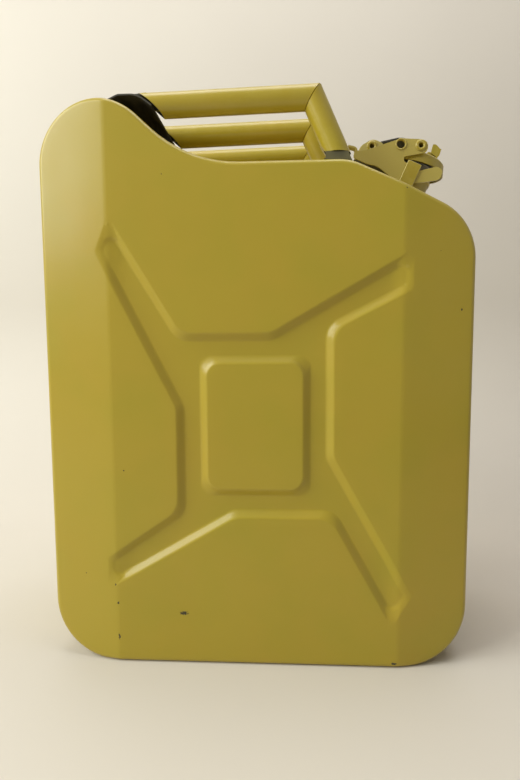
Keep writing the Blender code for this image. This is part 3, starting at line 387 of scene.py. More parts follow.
def face_skin():
    """Points with depths, and triangles, of the embossed face without its flanks."""
    base = rounded_outline(body_corners(), 0, ARC_STEP)
    counts = split_counts(base)
    edge = split_outline(rounded_outline(body_corners(), EDGE_RADIUS, ARC_STEP), counts)
    cross = rounded_outline(cross_corners(), 0, TIGHT_ARC_STEP)
    field = rounded_outline(field_corners(), 0, TIGHT_ARC_STEP)
    loops = [edge]
    depths = [0.0] * len(edge)
    for step in range(WALL_STEPS + 1):
        along = step / WALL_STEPS
        down = wall_share(along)
        for corners, middle, share in (
            (cross_corners(), cross, down), (field_corners(), field, 1 - down)
        ):
            wall = rounded_outline(corners, (along - 0.5) * EMBOSS_WALL, TIGHT_ARC_STEP)
            loops.append(split_outline(wall, split_counts(middle)))
            depths += [share * EMBOSS_DEPTH] * len(loops[-1])
    grid = face_grid(edge, cross, field)
    sunk = inside_mask(grid, cross) & ~inside_mask(grid, field)
    depths += list(np.where(sunk, EMBOSS_DEPTH, 0.0))
    points = [point for loop in loops for point in loop]
    edges = []
    for loop in loops:
        first = len(edges)
        edges += [(first + i, first + (i + 1) % len(loop)) for i in range(len(loop))]
    points += [Vector(point) for point in grid]
    verts, _, faces, sources, _, _ = delaunay_2d_cdt(
        points, edges, [], 1, SKIN_TOLERANCE, True
    )
    middles = np.array([np.mean([tuple(verts[i]) for i in face], axis=0) for face in faces])
    kept = [face for face, good in zip(faces, inside_mask(middles, edge)) if good]
    return verts, kept, sources, depths, len(edge), counts


def flank_drop(x):
    """How far the face has fallen back at x, with the crease slightly rounded."""
    past = abs(x) - CREASE_X
    if past <= -CREASE_BLEND:
        return 0
    if past < CREASE_BLEND:
        past = (past + CREASE_BLEND) ** 2 / (4 * CREASE_BLEND)
    return FLANK_DROP * past / FLANK_WIDTH


def arm_depth(x):
    """How much of the cross's depth is left at x, because its arms die out at their ends."""
    past = min(1, max(0, (abs(x) - ARM_FADE_START) / ARM_FADE_LENGTH))
    return 1 - ARM_FADE_SHARE * past * past * (3 - 2 * past)


def join_rings(bm, first, second):
    for i in range(len(first)):
        j = (i + 1) % len(first)
        bm.faces.new([first[i], first[j], second[j], second[i]])
    return second


def cut_across(bm, x):
    """Splits the faces that the plane at x crosses."""
    every = bm.verts[:] + bm.edges[:] + bm.faces[:]
    bmesh.ops.bisect_plane(
        bm, geom=every, dist=CUT_TOLERANCE, plane_co=(x, 0, 0), plane_no=(1, 0, 0)
    )


def groove_shares(rim):
    """How deep the seam groove is at each point of the rim: it runs out beside the neck."""
    neck_foot = SHOULDER_FRAME @ Vector((NECK_ALONG, 0, 0))
    neck_foot = Vector((neck_foot.x, neck_foot.z))
    shares = []
    for point in rim:
        past = ((point - neck_foot).length - COLLAR_RADIUS) / GROOVE_RUNOUT
        shares.append(min(1, max(GROOVE_LEAST_SHARE, past)))
    return shares


def fold_flanks(bm, side):
    """Lets the face fall back past the creases and waves the sheet a little."""
    for near in CREASE_CUT_SHARES:
        for way in (-1, 1):
            cut_across(bm, way * (CREASE_X + near * CREASE_BLEND))
    for vert in bm.verts:
        if abs(vert.co.y) > HALF_DEPTH / 2:
            wave = noise.noise(vert.co / SHEET_WAVE_LENGTH) * SHEET_WAVE
            vert.co.y -= side * (flank_drop(vert.co.x) + wave + SHEET_WAVE)


def shell_skin(side, skin):
    """The outer skin of one shell, from its face round the rim to the fin in the groove."""
    verts, faces, sources, depths, edge_count, counts = skin
    bm = bmesh.new()
    made = {}
    placed = []
    for vert, source in zip(verts, sources):
        y = HALF_DEPTH - depths[source[0]] * arm_depth(vert.x)
        placed.append(bm.verts.new((vert.x, side * y, vert.y)))
        for index in source:
            made[index] = placed[-1]
    for face in faces:
        bm.faces.new([placed[i] for i in face])
    ring = [made[i] for i in range(edge_count)]

    def add_ring(points, y):
        return join_rings(bm, ring, [bm.verts.new((p.x, y, p.y)) for p in points])

    def outline(inset):
        return split_outline(rounded_outline(body_corners(), inset, ARC_STEP), counts)

    rim = outline(0)
    floor = outline(GROOVE_DEPTH)
    shares = groove_shares(rim)
    for i in range(1, EDGE_STEPS + 1):
        angle = math.pi / 2 * i / EDGE_STEPS
        inset = EDGE_RADIUS * (1 - math.sin(angle))
        ring = add_ring(outline(inset), side * (HALF_DEPTH - EDGE_RADIUS * (1 - math.cos(angle))))
    mid_wall = (HALF_DEPTH - EDGE_RADIUS + GROOVE_HALF_WIDTH) / 2
    ring = add_ring(rim, side * mid_wall)
    for i in range(EDGE_STEPS + 1):
        turn = i / EDGE_STEPS
        down = wall_share(turn)
        y = GROOVE_HALF_WIDTH + GROOVE_WALL / 2 - 2 * GROOVE_WALL * turn
        grooved = [a.lerp(b, share * down) for a, b, share in zip(rim, floor, shares)]
        ring = add_ring(grooved, side * y)
    fin_y = side * (SEAM_GAP / 2 + SHEET)
    ring = add_ring(grooved, fin_y)
    fins = [a.lerp(b, share * (1 - FIN_SHARE)) for a, b, share in zip(rim, floor, shares)]
    add_ring(fins, fin_y)

    fold_flanks(bm, side)
    bmesh.ops.recalc_face_normals(bm, faces=bm.faces[:])
    lowest = min(bm.faces, key=lambda face: face.calc_center_median().z)
    if lowest.normal.z > 0:
        bmesh.ops.reverse_faces(bm, faces=bm.faces[:])
    return bm


def add_object(name, data):
    item = bpy.data.objects.new(name, data)
    bpy.context.collection.objects.link(item)
    return item


def shade(mesh):
    mesh.shade_smooth()
    mesh.set_sharp_from_angle(angle=SMOOTH_ANGLE)


def link_mesh(name, bm, material, body):
    mesh = bpy.data.meshes.new(name)
    bm.to_mesh(mesh)
    bm.free()
    shade(mesh)
    mesh.materials.append(material)
    piece = add_object(name, mesh)
    if body:
        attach(piece, body)
    return piece


def make_neck_cutter():
    bm = bmesh.new()
    radius = NECK_RADIUS + NECK_CLEARANCE
    bmesh.ops.create_cone(
        bm, cap_ends=True, segments=CUTTER_SEGMENTS,
        radius1=radius, radius2=radius, depth=2 * CUTTER_REACH,
    )
    bm.transform(SHOULDER_FRAME @ Matrix.Translation((NECK_ALONG, 0, 0)))
    mesh = bpy.data.meshes.new("neck_cutter")
    bm.to_mesh(mesh)
    bm.free()
    return add_object("neck_cutter", mesh)


def make_shells(material):
    skin = face_skin()
    cutter = make_neck_cutter()
    for name, side in (("front", -1), ("rear", 1)):
        piece = link_mesh(name + "_pressing", shell_skin(side, skin), material, "can")
        sheet = piece.modifiers.new("sheet", "SOLIDIFY")
        sheet.thickness = SHEET
        sheet.offset = -1
        hole = piece.modifiers.new("neck hole", "BOOLEAN")
        hole.object = cutter
        hole.solver = "EXACT"
        apply_modifiers(piece)
        shade(piece.data)
        finish(piece, name + "_shell", 0)
    bpy.data.objects.remove(cutter, do_unlink=True)


def apply_modifiers(piece):
    graph = bpy.context.evaluated_depsgraph_get()
    made = bpy.data.meshes.new_from_object(piece.evaluated_get(graph))
    piece.modifiers.clear()
    old = piece.data
    piece.data = made
    bpy.data.meshes.remove(old)


# Handles, with a finer section than the CAD pieces

def thick_line(path, thickness):
    """The outline of a sheet of this thickness that follows an open path."""
    left = []
    right = []
    for i, point in enumerate(path):
        along = (path[min(i + 1, len(path) - 1)] - path[max(i - 1, 0)]).normalized()
        reach = Vector((-along.y, along.x)) * thickness / 2
        left.append(point + reach)
        right.append(point - reach)
    return right + left[::-1]


def plate_mesh(outline, near, far):
    """A plate with the outline in X and Z between two depths in Y."""
    bm = bmesh.new()
    front = [bm.verts.new((p.x, near, p.y)) for p in outline]
    back = [bm.verts.new((p.x, far, p.y)) for p in outline]
    join_rings(bm, front, back)
    bm.faces.new(front)
    bm.faces.new(back)
    bmesh.ops.recalc_face_normals(bm, faces=bm.faces[:])
    return bm


def handle_section():
    """The rolled tube's section: (across, outward) round the outside and back round the inside."""
    points = []
    for radius, way in ((HANDLE_RADIUS, 1), (HANDLE_RADIUS - HANDLE_SHEET, -1)):
        sweep = []
        for i in range(SECTION_SEGMENTS + 1):
            turn = (2 * math.pi - 2 * HANDLE_SEAM_ANGLE) * i / SECTION_SEGMENTS
            angle = -math.pi / 2 + HANDLE_SEAM_ANGLE + turn
            sweep.append((radius * math.cos(angle), radius * math.sin(angle)))
        points += sweep[::way]
    return points


def leg_foot_height(outward):
    """Where the leg's tube is cut off: higher on its rear side, so that the foot shows."""
    open_share = max(0, -outward / HANDLE_RADIUS - LEG_INNER_SHARE) / (1 - LEG_INNER_SHARE)
    return DECK_HEIGHT + LEG_SIDE_GAP + LEG_INNER_RISE * open_share


def handle_tube(centre_y):
    """The bar and the leg, mitred with a fine groove between them."""
    bar_out = Vector((-HANDLE_BAR.y, HANDLE_BAR.x))
    leg_out = Vector((-HANDLE_LEG.y, HANDLE_LEG.x))
    bisector = (bar_out + leg_out).normalized()
    stretch = 1 / bisector.dot(bar_out)
    bm = bmesh.new()
    rings = [[], [], [], [], []]
    for across, outward in handle_section():
        sunk = 1 - MITRE_DEPTH / HANDLE_RADIUS
        if math.hypot(across, outward) < HANDLE_RADIUS - HANDLE_SHEET / 2:
            sunk = 1
        high = ((outward / HANDLE_RADIUS + 1) / 2) ** REAR_CUT_BEND
        cut_x = HANDLE_REAR_LOW_X + (HANDLE_REAR_HIGH_X - HANDLE_REAR_LOW_X) * high
        start = HANDLE_BEND + bar_out * outward
        rear = start + HANDLE_BAR * ((cut_x - start.x) / HANDLE_BAR.x)
        mitre = HANDLE_BEND + bisector * outward * stretch
        start = HANDLE_BEND + leg_out * outward
        foot = start + HANDLE_LEG * ((leg_foot_height(outward) - start.y) / HANDLE_LEG.y)
        groove = HANDLE_BEND + bisector * outward * stretch * sunk
        before = mitre - HANDLE_BAR * MITRE_GAP
        after = mitre + HANDLE_LEG * MITRE_GAP
        for ring, point in zip(rings, (rear, before, groove, after, foot)):
            reach = across * sunk if point is groove else across
            ring.append(bm.verts.new((point.x, centre_y + reach, point.y)))
    for first, second in zip(rings, rings[1:]):
        join_rings(bm, first, second)
    last = len(rings[0]) - 1
    for ring in (rings[0], rings[-1]):
        for i in range(SECTION_SEGMENTS):
            bm.faces.new([ring[i], ring[i + 1], ring[last - i - 1], ring[last - i]])
    bmesh.ops.recalc_face_normals(bm, faces=bm.faces[:])
    return bm


def hump_height_at(x):
    """The top of the hump where it rounds down to the can's end."""
    past = -HALF_LENGTH + HUMP_CORNER_RADIUS - x
    return HUMP_HEIGHT - HUMP_CORNER_RADIUS + math.sqrt(HUMP_CORNER_RADIUS**2 - past**2)


def tongue_outline():
    """The tongue lies on the hump, rises to its crest and drops in front of it."""
    seat = FIT + HANDLE_SHEET / 2
    corner_centre = -HALF_LENGTH + HUMP_CORNER_RADIUS
    middle = (TONGUE_REAR_X + corner_centre) / 2
    crest = HUMP_HEIGHT + TONGUE_CREST_RISE
    corners = (
        (TONGUE_REAR_X, hump_height_at(TONGUE_REAR_X) + seat, 0),
        (middle, hump_height_at(middle) + seat, 0),
        (corner_centre, HUMP_HEIGHT + seat, TONGUE_LAND_RADIUS),
        (TONGUE_LAND_X, HUMP_HEIGHT + seat, TONGUE_LAND_RADIUS),
        (TONGUE_CREST_REAR_X, crest, TONGUE_LAND_RADIUS),
        (TONGUE_CREST_FRONT_X, crest, TONGUE_CREST_RADIUS),
        (TONGUE_FRONT_X, HUMP_HEIGHT - TONGUE_FRONT_DROP, 0),
    )
    points = [Vector(corner[:2]) for corner in corners]
    path = [points[0]]
    for i in range(1, len(points) - 1):
        radius = corners[i][2]
        path += corner_arc(points[i - 1], points[i], points[i + 1], radius, ARC_STEP)
    return thick_line(path + [points[-1]], HANDLE_SHEET)


def foot_wall_outline():
    """A wall of the foot: it fills the leg's width and ends inside the tube."""
    slope = math.tan(HANDLE_LEG_ANGLE)
    low = DECK_HEIGHT + FIT + HANDLE_SHEET / 2
    cut = DECK_HEIGHT + LEG_SIDE_GAP
    high = cut + 2 * HANDLE_SHEET
    axis = HANDLE_BEND.x + HANDLE_BEND.y * slope
    front = axis + FOOT_FRONT_REACH
    half = math.sqrt(HANDLE_RADIUS**2 - (FOOT_WALL_Y + HANDLE_SHEET / 2) ** 2) - HANDLE_SHEET / 2
    return [
        Vector((FOOT_BACK, low)),
        Vector((front - low * slope, low)),
        Vector((front - cut * slope, cut)),
        Vector((axis - cut * slope + half, cut)),
        Vector((axis - high * slope + half, high)),
        Vector((axis - high * slope - half, high)),
        Vector((axis - cut * slope - half, cut)),
        Vector((FOOT_BACK, cut)),
    ]


def handle_plates(centre_y):
    """Outlines and depths of the tongue, its ridge, the foot plate and the foot walls."""
    near = max(centre_y - TONGUE_HALF_WIDTH, -TONGUE_OUTER_Y)
    far = min(centre_y + TONGUE_HALF_WIDTH, TONGUE_OUTER_Y)
    thin = HANDLE_SHEET / 2
    end_x = HANDLE_REAR_HIGH_X + RIDGE_REACH
    crown_z = HANDLE_BEND.y - (HANDLE_BEND.x - end_x) * HANDLE_BAR.y / HANDLE_BAR.x + HANDLE_RADIUS
    ridge_ends = (
        Vector((TONGUE_CREST_REAR_X, HUMP_HEIGHT + TONGUE_CREST_RISE)),
        Vector((end_x, crown_z - HANDLE_SHEET)),
    )
    ridge_half = HANDLE_RADIUS * RIDGE_WIDTH_SHARE
    low = DECK_HEIGHT + FIT
    foot = box_outline(FOOT_BACK, FOOT_FRONT, low, low + HANDLE_SHEET)
    foot_half = FOOT_WALL_Y + thin
    plates = [
        (tongue_outline(), near, far),
        (thick_line(ridge_ends, HANDLE_SHEET), centre_y - ridge_half, centre_y + ridge_half),
        (foot, centre_y - foot_half, centre_y + foot_half),
    ]
    for side in (-1, 1):
        middle = centre_y + side * FOOT_WALL_Y
        plates.append((foot_wall_outline(), middle - thin, middle + thin))
    return plates


def join_plates(piece, plates, paint):
    joined = []
    for outline, *depths in plates:
        part = link_mesh("joined_plate", plate_mesh(outline, *depths), paint, None)
        union = piece.modifiers.new("union", "BOOLEAN")
        union.operation = "UNION"
        union.solver = "EXACT"
        union.object = part
        joined.append(part)
    apply_modifiers(piece)
    for part in joined:
        bpy.data.objects.remove(part, do_unlink=True)


def sharpen_mitre(mesh):
    bisector = (HANDLE_BAR + HANDLE_LEG).normalized()
    for line in mesh.edges:
        ends = [mesh.vertices[i].co for i in line.vertices]
        gaps = [(Vector((end.x, end.z)) - HANDLE_BEND).dot(bisector) for end in ends]
        if all(abs(gap) < MITRE_TOLERANCE for gap in gaps):
            line.use_edge_sharp = True


def make_handle(node, centre_y, paint, dark, foot_shade):
    """The tube with its tongue, ridge, foot plate and foot walls joined on."""
    piece = link_mesh(node + "_finish", handle_tube(centre_y), paint, "can")
    join_plates(piece, handle_plates(centre_y), paint)
    bm = bmesh.new()
    bm.from_mesh(piece.data)
    merge_flats(bm)
    finish_of = handle_finish(centre_y)
    for face in bm.faces:
        face.material_index = finish_of(face.calc_center_median(), face.normal)
    bm.to_mesh(piece.data)
    bm.free()
    # The second slot paints the shade inside the tube and under the tongue, the third paints the
    # shade on the foot
    piece.data.materials.append(dark)
    piece.data.materials.append(foot_shade)
    shade(piece.data)
    sharpen_mitre(piece.data)
    finish(piece, node, HANDLE_EDGE)


# Softened copies of the CAD pieces

FACE_FINISH = -1  # a rounded edge takes the finish of the face beside it


def merge_flats(bm):
    bmesh.ops.remove_doubles(bm, verts=bm.verts[:], dist=WELD_DISTANCE)
    bmesh.ops.dissolve_limit(bm, angle_limit=FLAT_ANGLE, verts=bm.verts[:], edges=bm.edges[:])


def finish(piece, node, edge, edge_finish=FACE_FINISH):
    """Rounds the edges, in a finish of their own if one is given, evens the shading and hides the
    CAD node.
    """
    if edge > 0:
        bevel = piece.modifiers.new("rounded edges", "BEVEL")
        bevel.width = edge
        bevel.segments = BEVEL_SEGMENTS
        bevel.limit_method = "ANGLE"
        bevel.angle_limit = BEVEL_ANGLE
        bevel.material = edge_finish
    even = piece.modifiers.new("even shading", "WEIGHTED_NORMAL")
    even.keep_sharp = True
    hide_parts(node)


def soften(node, edge, material, dark=None, painted_shade_material=None, rubbed=None, cuts=()):
    """A copy of a CAD piece with rounded edges and each flat as one face.

    The cuts part its faces across X. The faces that dark picks out take the dark material, a
    painted shade, and the rounded edges take the rubbed one, a painted highlight in the tone of
    rubbed paint.
    """
    source = frame["nodes"][node]
    bm = bmesh.new()
    bm.from_mesh(source.data)
    merge_flats(bm)
    for cut in cuts:
        cut_across(bm, cut)
    bm.normal_update()
    for face in bm.faces:
        face.material_index = bool(dark and dark(face.calc_center_median(), face.normal))
    piece = link_mesh(node + "_finish", bm, material, source["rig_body"])
    # The last slot, when given, paints a highlight on the rounded edges
    for extra in (painted_shade_material, rubbed):
        if extra:
            piece.data.materials.append(extra)
    finish(piece, node, edge, len(piece.data.materials) - 1 if rubbed else FACE_FINISH)


def handle_finish(handle_y):
    """Tells a handle's enamelled faces (0) from those painted dark as shade: inside the tube and on
    the tongue's underside and edges (1), and on the foot (2).
    """
    def test(centre, normal):
        place = Vector((centre.x, centre.z)) - HANDLE_BEND
        across = centre.y - handle_y
        upward = normal.z > UPWARD_FACING and centre.z > HUMP_HEIGHT
        if upward and centre.x < HANDLE_REAR_LOW_X:
            return 0
        low = centre.z < DECK_HEIGHT + LEG_SIDE_GAP
        if low and abs(across) < FOOT_WALL_Y + FOOT_SHADE_MARGIN:
            return 2
        inner = HANDLE_RADIUS - HANDLE_SHEET * INNER_SHEET_SHARE
        for way in (-HANDLE_BAR, HANDLE_LEG):
            side = place.cross(way)
            if place.dot(way) > -HANDLE_RADIUS and math.hypot(side, across) < inner:
                return 1
        # Painted shade: the tongue's underside and its rear and side edges are made dark
        rear = centre.x < TONGUE_FRONT_X + HANDLE_SHEET
        under_tongue = rear and normal.z < UNDER_TONGUE_FACING
        rear_edge = centre.x < HANDLE_REAR_LOW_X and normal.x < REAR_EDGE_FACING
        tongue_edge = centre.x < HANDLE_REAR_HIGH_X and abs(normal.y) > SIDE_FACING
        return int(under_tongue or rear_edge or tongue_edge)
    return test


def arm_in_painted_shade(centre, normal):
    """The arm's underside and its flanges' sides, from the ears to the tab, painted dark as shade.
    """
    flange = abs(normal.y) > SIDE_FACING and centre.x < ARM_SHADE_END
    return centre.x > ARM_SHADE_START and (normal.z < UNDER_ARM_FACING or flange)


# Materials

class Graph:
    """Short calls for adding and joining shader nodes."""

    def __init__(self, tree):
        self.tree = tree

    def add(self, kind, inputs=None, **settings):
        node = self.tree.nodes.new(kind)
        for key, value in settings.items():
            setattr(node, key, value)
        for key, value in (inputs or {}).items():
            self.put(node.inputs[key], value)
        return node

    def put(self, socket, value):
        if isinstance(value, bpy.types.NodeSocket):
            self.tree.links.new(value, socket)
        else:
            socket.default_value = value

    def math(self, operation, a, b, clamp=False):
        node = self.add("ShaderNodeMath", {0: a, 1: b}, operation=operation, use_clamp=clamp)
        return node.outputs[0]

    def vector_math(self, operation, *vectors):
        inputs = dict(enumerate(vectors))
        return self.add("ShaderNodeVectorMath", inputs, operation=operation).outputs

    def mix(self, factor, a, b):
        node = self.add("ShaderNodeMix", data_type="RGBA")
        self.put(node.inputs["Factor"], factor)
        self.put(node.inputs[6], a)
        self.put(node.inputs[7], b)
        return node.outputs[2]

    def ramp(self, value, low, high, out_low=0.0, out_high=1.0):
        ranges = {"Value": value, 1: low, 2: high, 3: out_low, 4: out_high}
        return self.add("ShaderNodeMapRange", ranges, clamp=True).outputs[0]

    def noise(self, vector, scale, detail=2.0, roughness=0.5):
        sizes = {"Vector": vector, "Scale": scale, "Detail": detail, "Roughness": roughness}
        return self.add("ShaderNodeTexNoise", sizes).outputs["Fac"]

    def bump(self, shader, height):
        """Gives the shader a relief whose height is in metres."""
        relief = self.add("ShaderNodeBump", {"Strength": 1.0, "Distance": 1.0, "Height": height})
        self.put(shader.inputs["Normal"], relief.outputs[0])


def start_group(name, inputs, outputs):
    tree = bpy.data.node_groups.new(name, "ShaderNodeTree")
    for label, kind, default in inputs:
        socket = tree.interface.new_socket(label, in_out="INPUT", socket_type=kind)
        if default is not None:
            socket.default_value = default
    for label, kind in outputs:
        tree.interface.new_socket(label, in_out="OUTPUT", socket_type=kind)
    graph = Graph(tree)
    return graph, graph.add("NodeGroupInput").outputs, graph.add("NodeGroupOutput").inputs


VECTOR = "NodeSocketVector"
FLOAT = "NodeSocketFloat"
COLOUR = "NodeSocketColor"


def build_paint_tone():
    """Slow drifts of tone in old enamel."""
    graph, given, out = start_group(
        "paint_tone",
        (("Vector", VECTOR, None), ("Paint", COLOUR, None), ("Warm", COLOUR, None),
         ("Green", COLOUR, None), ("Drift", FLOAT, 0.3)),
        (("Colour", COLOUR),),
    )
    warm = graph.ramp(graph.noise(given["Vector"], 11.0, detail=3.0), 0.42, 0.68)
    green = graph.ramp(graph.noise(given["Vector"], 17.0), 0.45, 0.7)
    toned = graph.mix(graph.math("MULTIPLY", warm, given["Drift"]), given["Paint"], given["Warm"])
    toned = graph.mix(graph.math("MULTIPLY", green, given["Drift"]), toned, given["Green"])
    graph.put(out["Colour"], toned)
    return graph.tree


def build_paint_skin():
    """Heights of orange peel and of the sheet's soft unevenness under it, in metres."""
    graph, given, out = start_group(
        "paint_skin",
        (("Vector", VECTOR, None), ("Peel", FLOAT, 0.00001), ("Ripple", FLOAT, 0.00005)),
        (("Height", FLOAT),),
    )
    peel = graph.math("MULTIPLY", graph.noise(given["Vector"], 420.0), given["Peel"])
    ripple = graph.math("MULTIPLY", graph.noise(given["Vector"], 38.0, detail=1.0), given["Ripple"])
    graph.put(out["Height"], graph.math("ADD", peel, ripple))
    return graph.tree


def build_edge_wear():
    """Where handling has rubbed the convex edges."""
    graph, given, out = start_group(
        "edge_wear",
        (("Vector", VECTOR, None), ("Amount", FLOAT, 0.5)),
        (("Mask", FLOAT),),
    )
    point = graph.add("ShaderNodeNewGeometry").outputs["Pointiness"]
    edge = graph.ramp(point, 0.515, 0.56)
    patchy = graph.ramp(graph.noise(given["Vector"], 90.0, detail=4.0, roughness=0.65), 0.42, 0.62)
    rubbed = graph.math("MULTIPLY", edge, patchy)
    graph.put(out["Mask"], graph.math("MULTIPLY", rubbed, given["Amount"], clamp=True))
    return graph.tree


def build_specks():
    """Sparse dark pin marks in the enamel."""
    graph, given, out = start_group(
        "specks",
        (("Vector", VECTOR, None), ("Density", FLOAT, 60.0), ("Size", FLOAT, 0.1),
         ("Share", FLOAT, 0.1)),
        (("Mask", FLOAT),),
    )
    cells = graph.add(
        "ShaderNodeTexVoronoi", {"Vector": given["Vector"], "Scale": given["Density"]}
    )
    apart = graph.add("ShaderNodeSeparateColor", {"Color": cells.outputs["Color"]})
    chosen = graph.math("LESS_THAN", apart.outputs["Red"], given["Share"])
    size = graph.math("MULTIPLY", given["Size"], apart.outputs["Green"])
    near = graph.math("LESS_THAN", cells.outputs["Distance"], size)
    graph.put(out["Mask"], graph.math("MULTIPLY", chosen, near))
    return graph.tree


def build_chip():
    """One ragged chip round a given place."""
    graph, given, out = start_group(
        "paint_chip",
        (("Vector", VECTOR, None), ("Place", VECTOR, None), ("Stretch", VECTOR, (1, 1, 1)),
         ("Radius", FLOAT, 0.001)),
        (("Mask", FLOAT),),
    )
    away = graph.vector_math("SUBTRACT", given["Vector"], given["Place"])[0]
    away = graph.vector_math("MULTIPLY", away, given["Stretch"])[0]
    away = graph.vector_math("LENGTH", away)["Value"]
    ragged = graph.noise(given["Vector"], 900.0)
    ragged = graph.ramp(ragged, 0.3, 0.7, out_low=0.4, out_high=1.4)
    reach = graph.math("MULTIPLY", given["Radius"], ragged)
    graph.put(out["Mask"], graph.math("LESS_THAN", away, reach))
    return graph.tree


def build_grime():
    """Dust that settles on upward faces and gathers in hollows."""
    graph, given, out = start_group(
        "grime",
        (("Vector", VECTOR, None), ("Dust", FLOAT, 0.1), ("Hollows", FLOAT, 0.3)),
        (("Mask", FLOAT),),
    )
    surface = graph.add("ShaderNodeNewGeometry")
    upward = graph.add("ShaderNodeSeparateXYZ", {0: surface.outputs["Normal"]}).outputs["Z"]
    patches = graph.ramp(graph.noise(given["Vector"], 45.0, detail=4.0, roughness=0.6), 0.35, 0.75)
    dust = graph.math("MULTIPLY", graph.ramp(upward, 0.4, 1.0), given["Dust"])
    dust = graph.math("MULTIPLY", dust, patches)
    hollow = graph.ramp(surface.outputs["Pointiness"], 0.49, 0.44)
    hollow = graph.math("MULTIPLY", hollow, given["Hollows"])
    graph.put(out["Mask"], graph.math("ADD", dust, hollow, clamp=True))
    return graph.tree


def build_clouding():
    """Soft clouds between two values: smudges on enamel, blooms and the tones of painted shade."""
    graph, given, out = start_group(
        "clouding",
        (("Vector", VECTOR, None), ("Scale", FLOAT, 60.0), ("Detail", FLOAT, 3.0),
         ("Raggedness", FLOAT, 0.5), ("Low", FLOAT, 0.3), ("High", FLOAT, 0.7),
         ("Least", FLOAT, 0.0), ("Most", FLOAT, 1.0)),
        (("Value", FLOAT),),
    )
    cloud = graph.noise(given["Vector"], given["Scale"], given["Detail"], given["Raggedness"])
    cloud = graph.ramp(cloud, given["Low"], given["High"], given["Least"], given["Most"])
    graph.put(out["Value"], cloud)
    return graph.tree


def build_fine_grain():
    """Heights of the fine grain of plate and rubber, in metres."""
    graph, given, out = start_group(
        "fine_grain",
        (("Vector", VECTOR, None), ("Scale", FLOAT, 700.0), ("Depth", FLOAT, 0.00001)),
        (("Height", FLOAT),),
    )
    grain = graph.noise(given["Vector"], given["Scale"])
    graph.put(out["Height"], graph.math("MULTIPLY", grain, given["Depth"]))
    return graph.tree


GROUPS = {}


def use(graph, group, inputs):
    node = graph.add("ShaderNodeGroup", node_tree=GROUPS[group])
    for key, value in inputs.items():
        graph.put(node.inputs[key], value)
    return node.outputs[0]


def start_material(name):
    material = bpy.data.materials.new(name)
    material.use_nodes = True
    graph = Graph(material.node_tree)
    shader = material.node_tree.nodes["Principled BSDF"]
    place = graph.add("ShaderNodeTexCoord").outputs["Object"]
    return material, graph, shader, place


MUSTARD = (0.418, 0.315, 0.024, 1)
WARM_MUSTARD = (0.443, 0.301, 0.027, 1)
GREEN_MUSTARD = (0.353, 0.303, 0.017, 1)
# Pale tone of rubbed paint, also used as painted highlight
RUBBED_PAINT_AND_HIGHLIGHT = (0.66, 0.57, 0.20, 1)
# Primer that shows in chips and specks, and also the paler tone of the painted shade
PRIMER_AND_SHADE = (0.055, 0.048, 0.030, 1)
SOIL = (0.120, 0.095, 0.035, 1)
# Painted shade on the base of the hinge bracket
SHADE_BROWN = (0.065, 0.056, 0.026, 1)
# The darker tone of the painted shade under the handles and the arm
SHADE_BLACK = (0.012, 0.011, 0.010, 1)
# Tones of the painted shade on the handles' feet
DEEP_FOOT_SHADE = (0.076, 0.070, 0.032, 1)
PALE_FOOT_SHADE = (0.130, 0.118, 0.050, 1)
DULL_ZINC = (0.42, 0.40, 0.34, 1)
BRIGHT_ZINC = (0.62, 0.60, 0.54, 1)
CLEAN_RUBBER = (0.015, 0.015, 0.014, 1)
BLOOMED_RUBBER = (0.05, 0.048, 0.044, 1)
PAINT_DRIFT = 0.35
PEEL_HEIGHT = 0.000012
RIPPLE_HEIGHT = 0.00010
CHIP_DEPTH = 0.00008
SHADE_FADE_SHARE = 0.8
CLEAN_ENAMEL_ROUGHNESS = 0.30
SMUDGED_ENAMEL_ROUGHNESS = 0.42
ENAMEL_SPECULAR = 0.35
ENAMEL_COAT = 0.22
ENAMEL_COAT_ROUGHNESS = 0.16


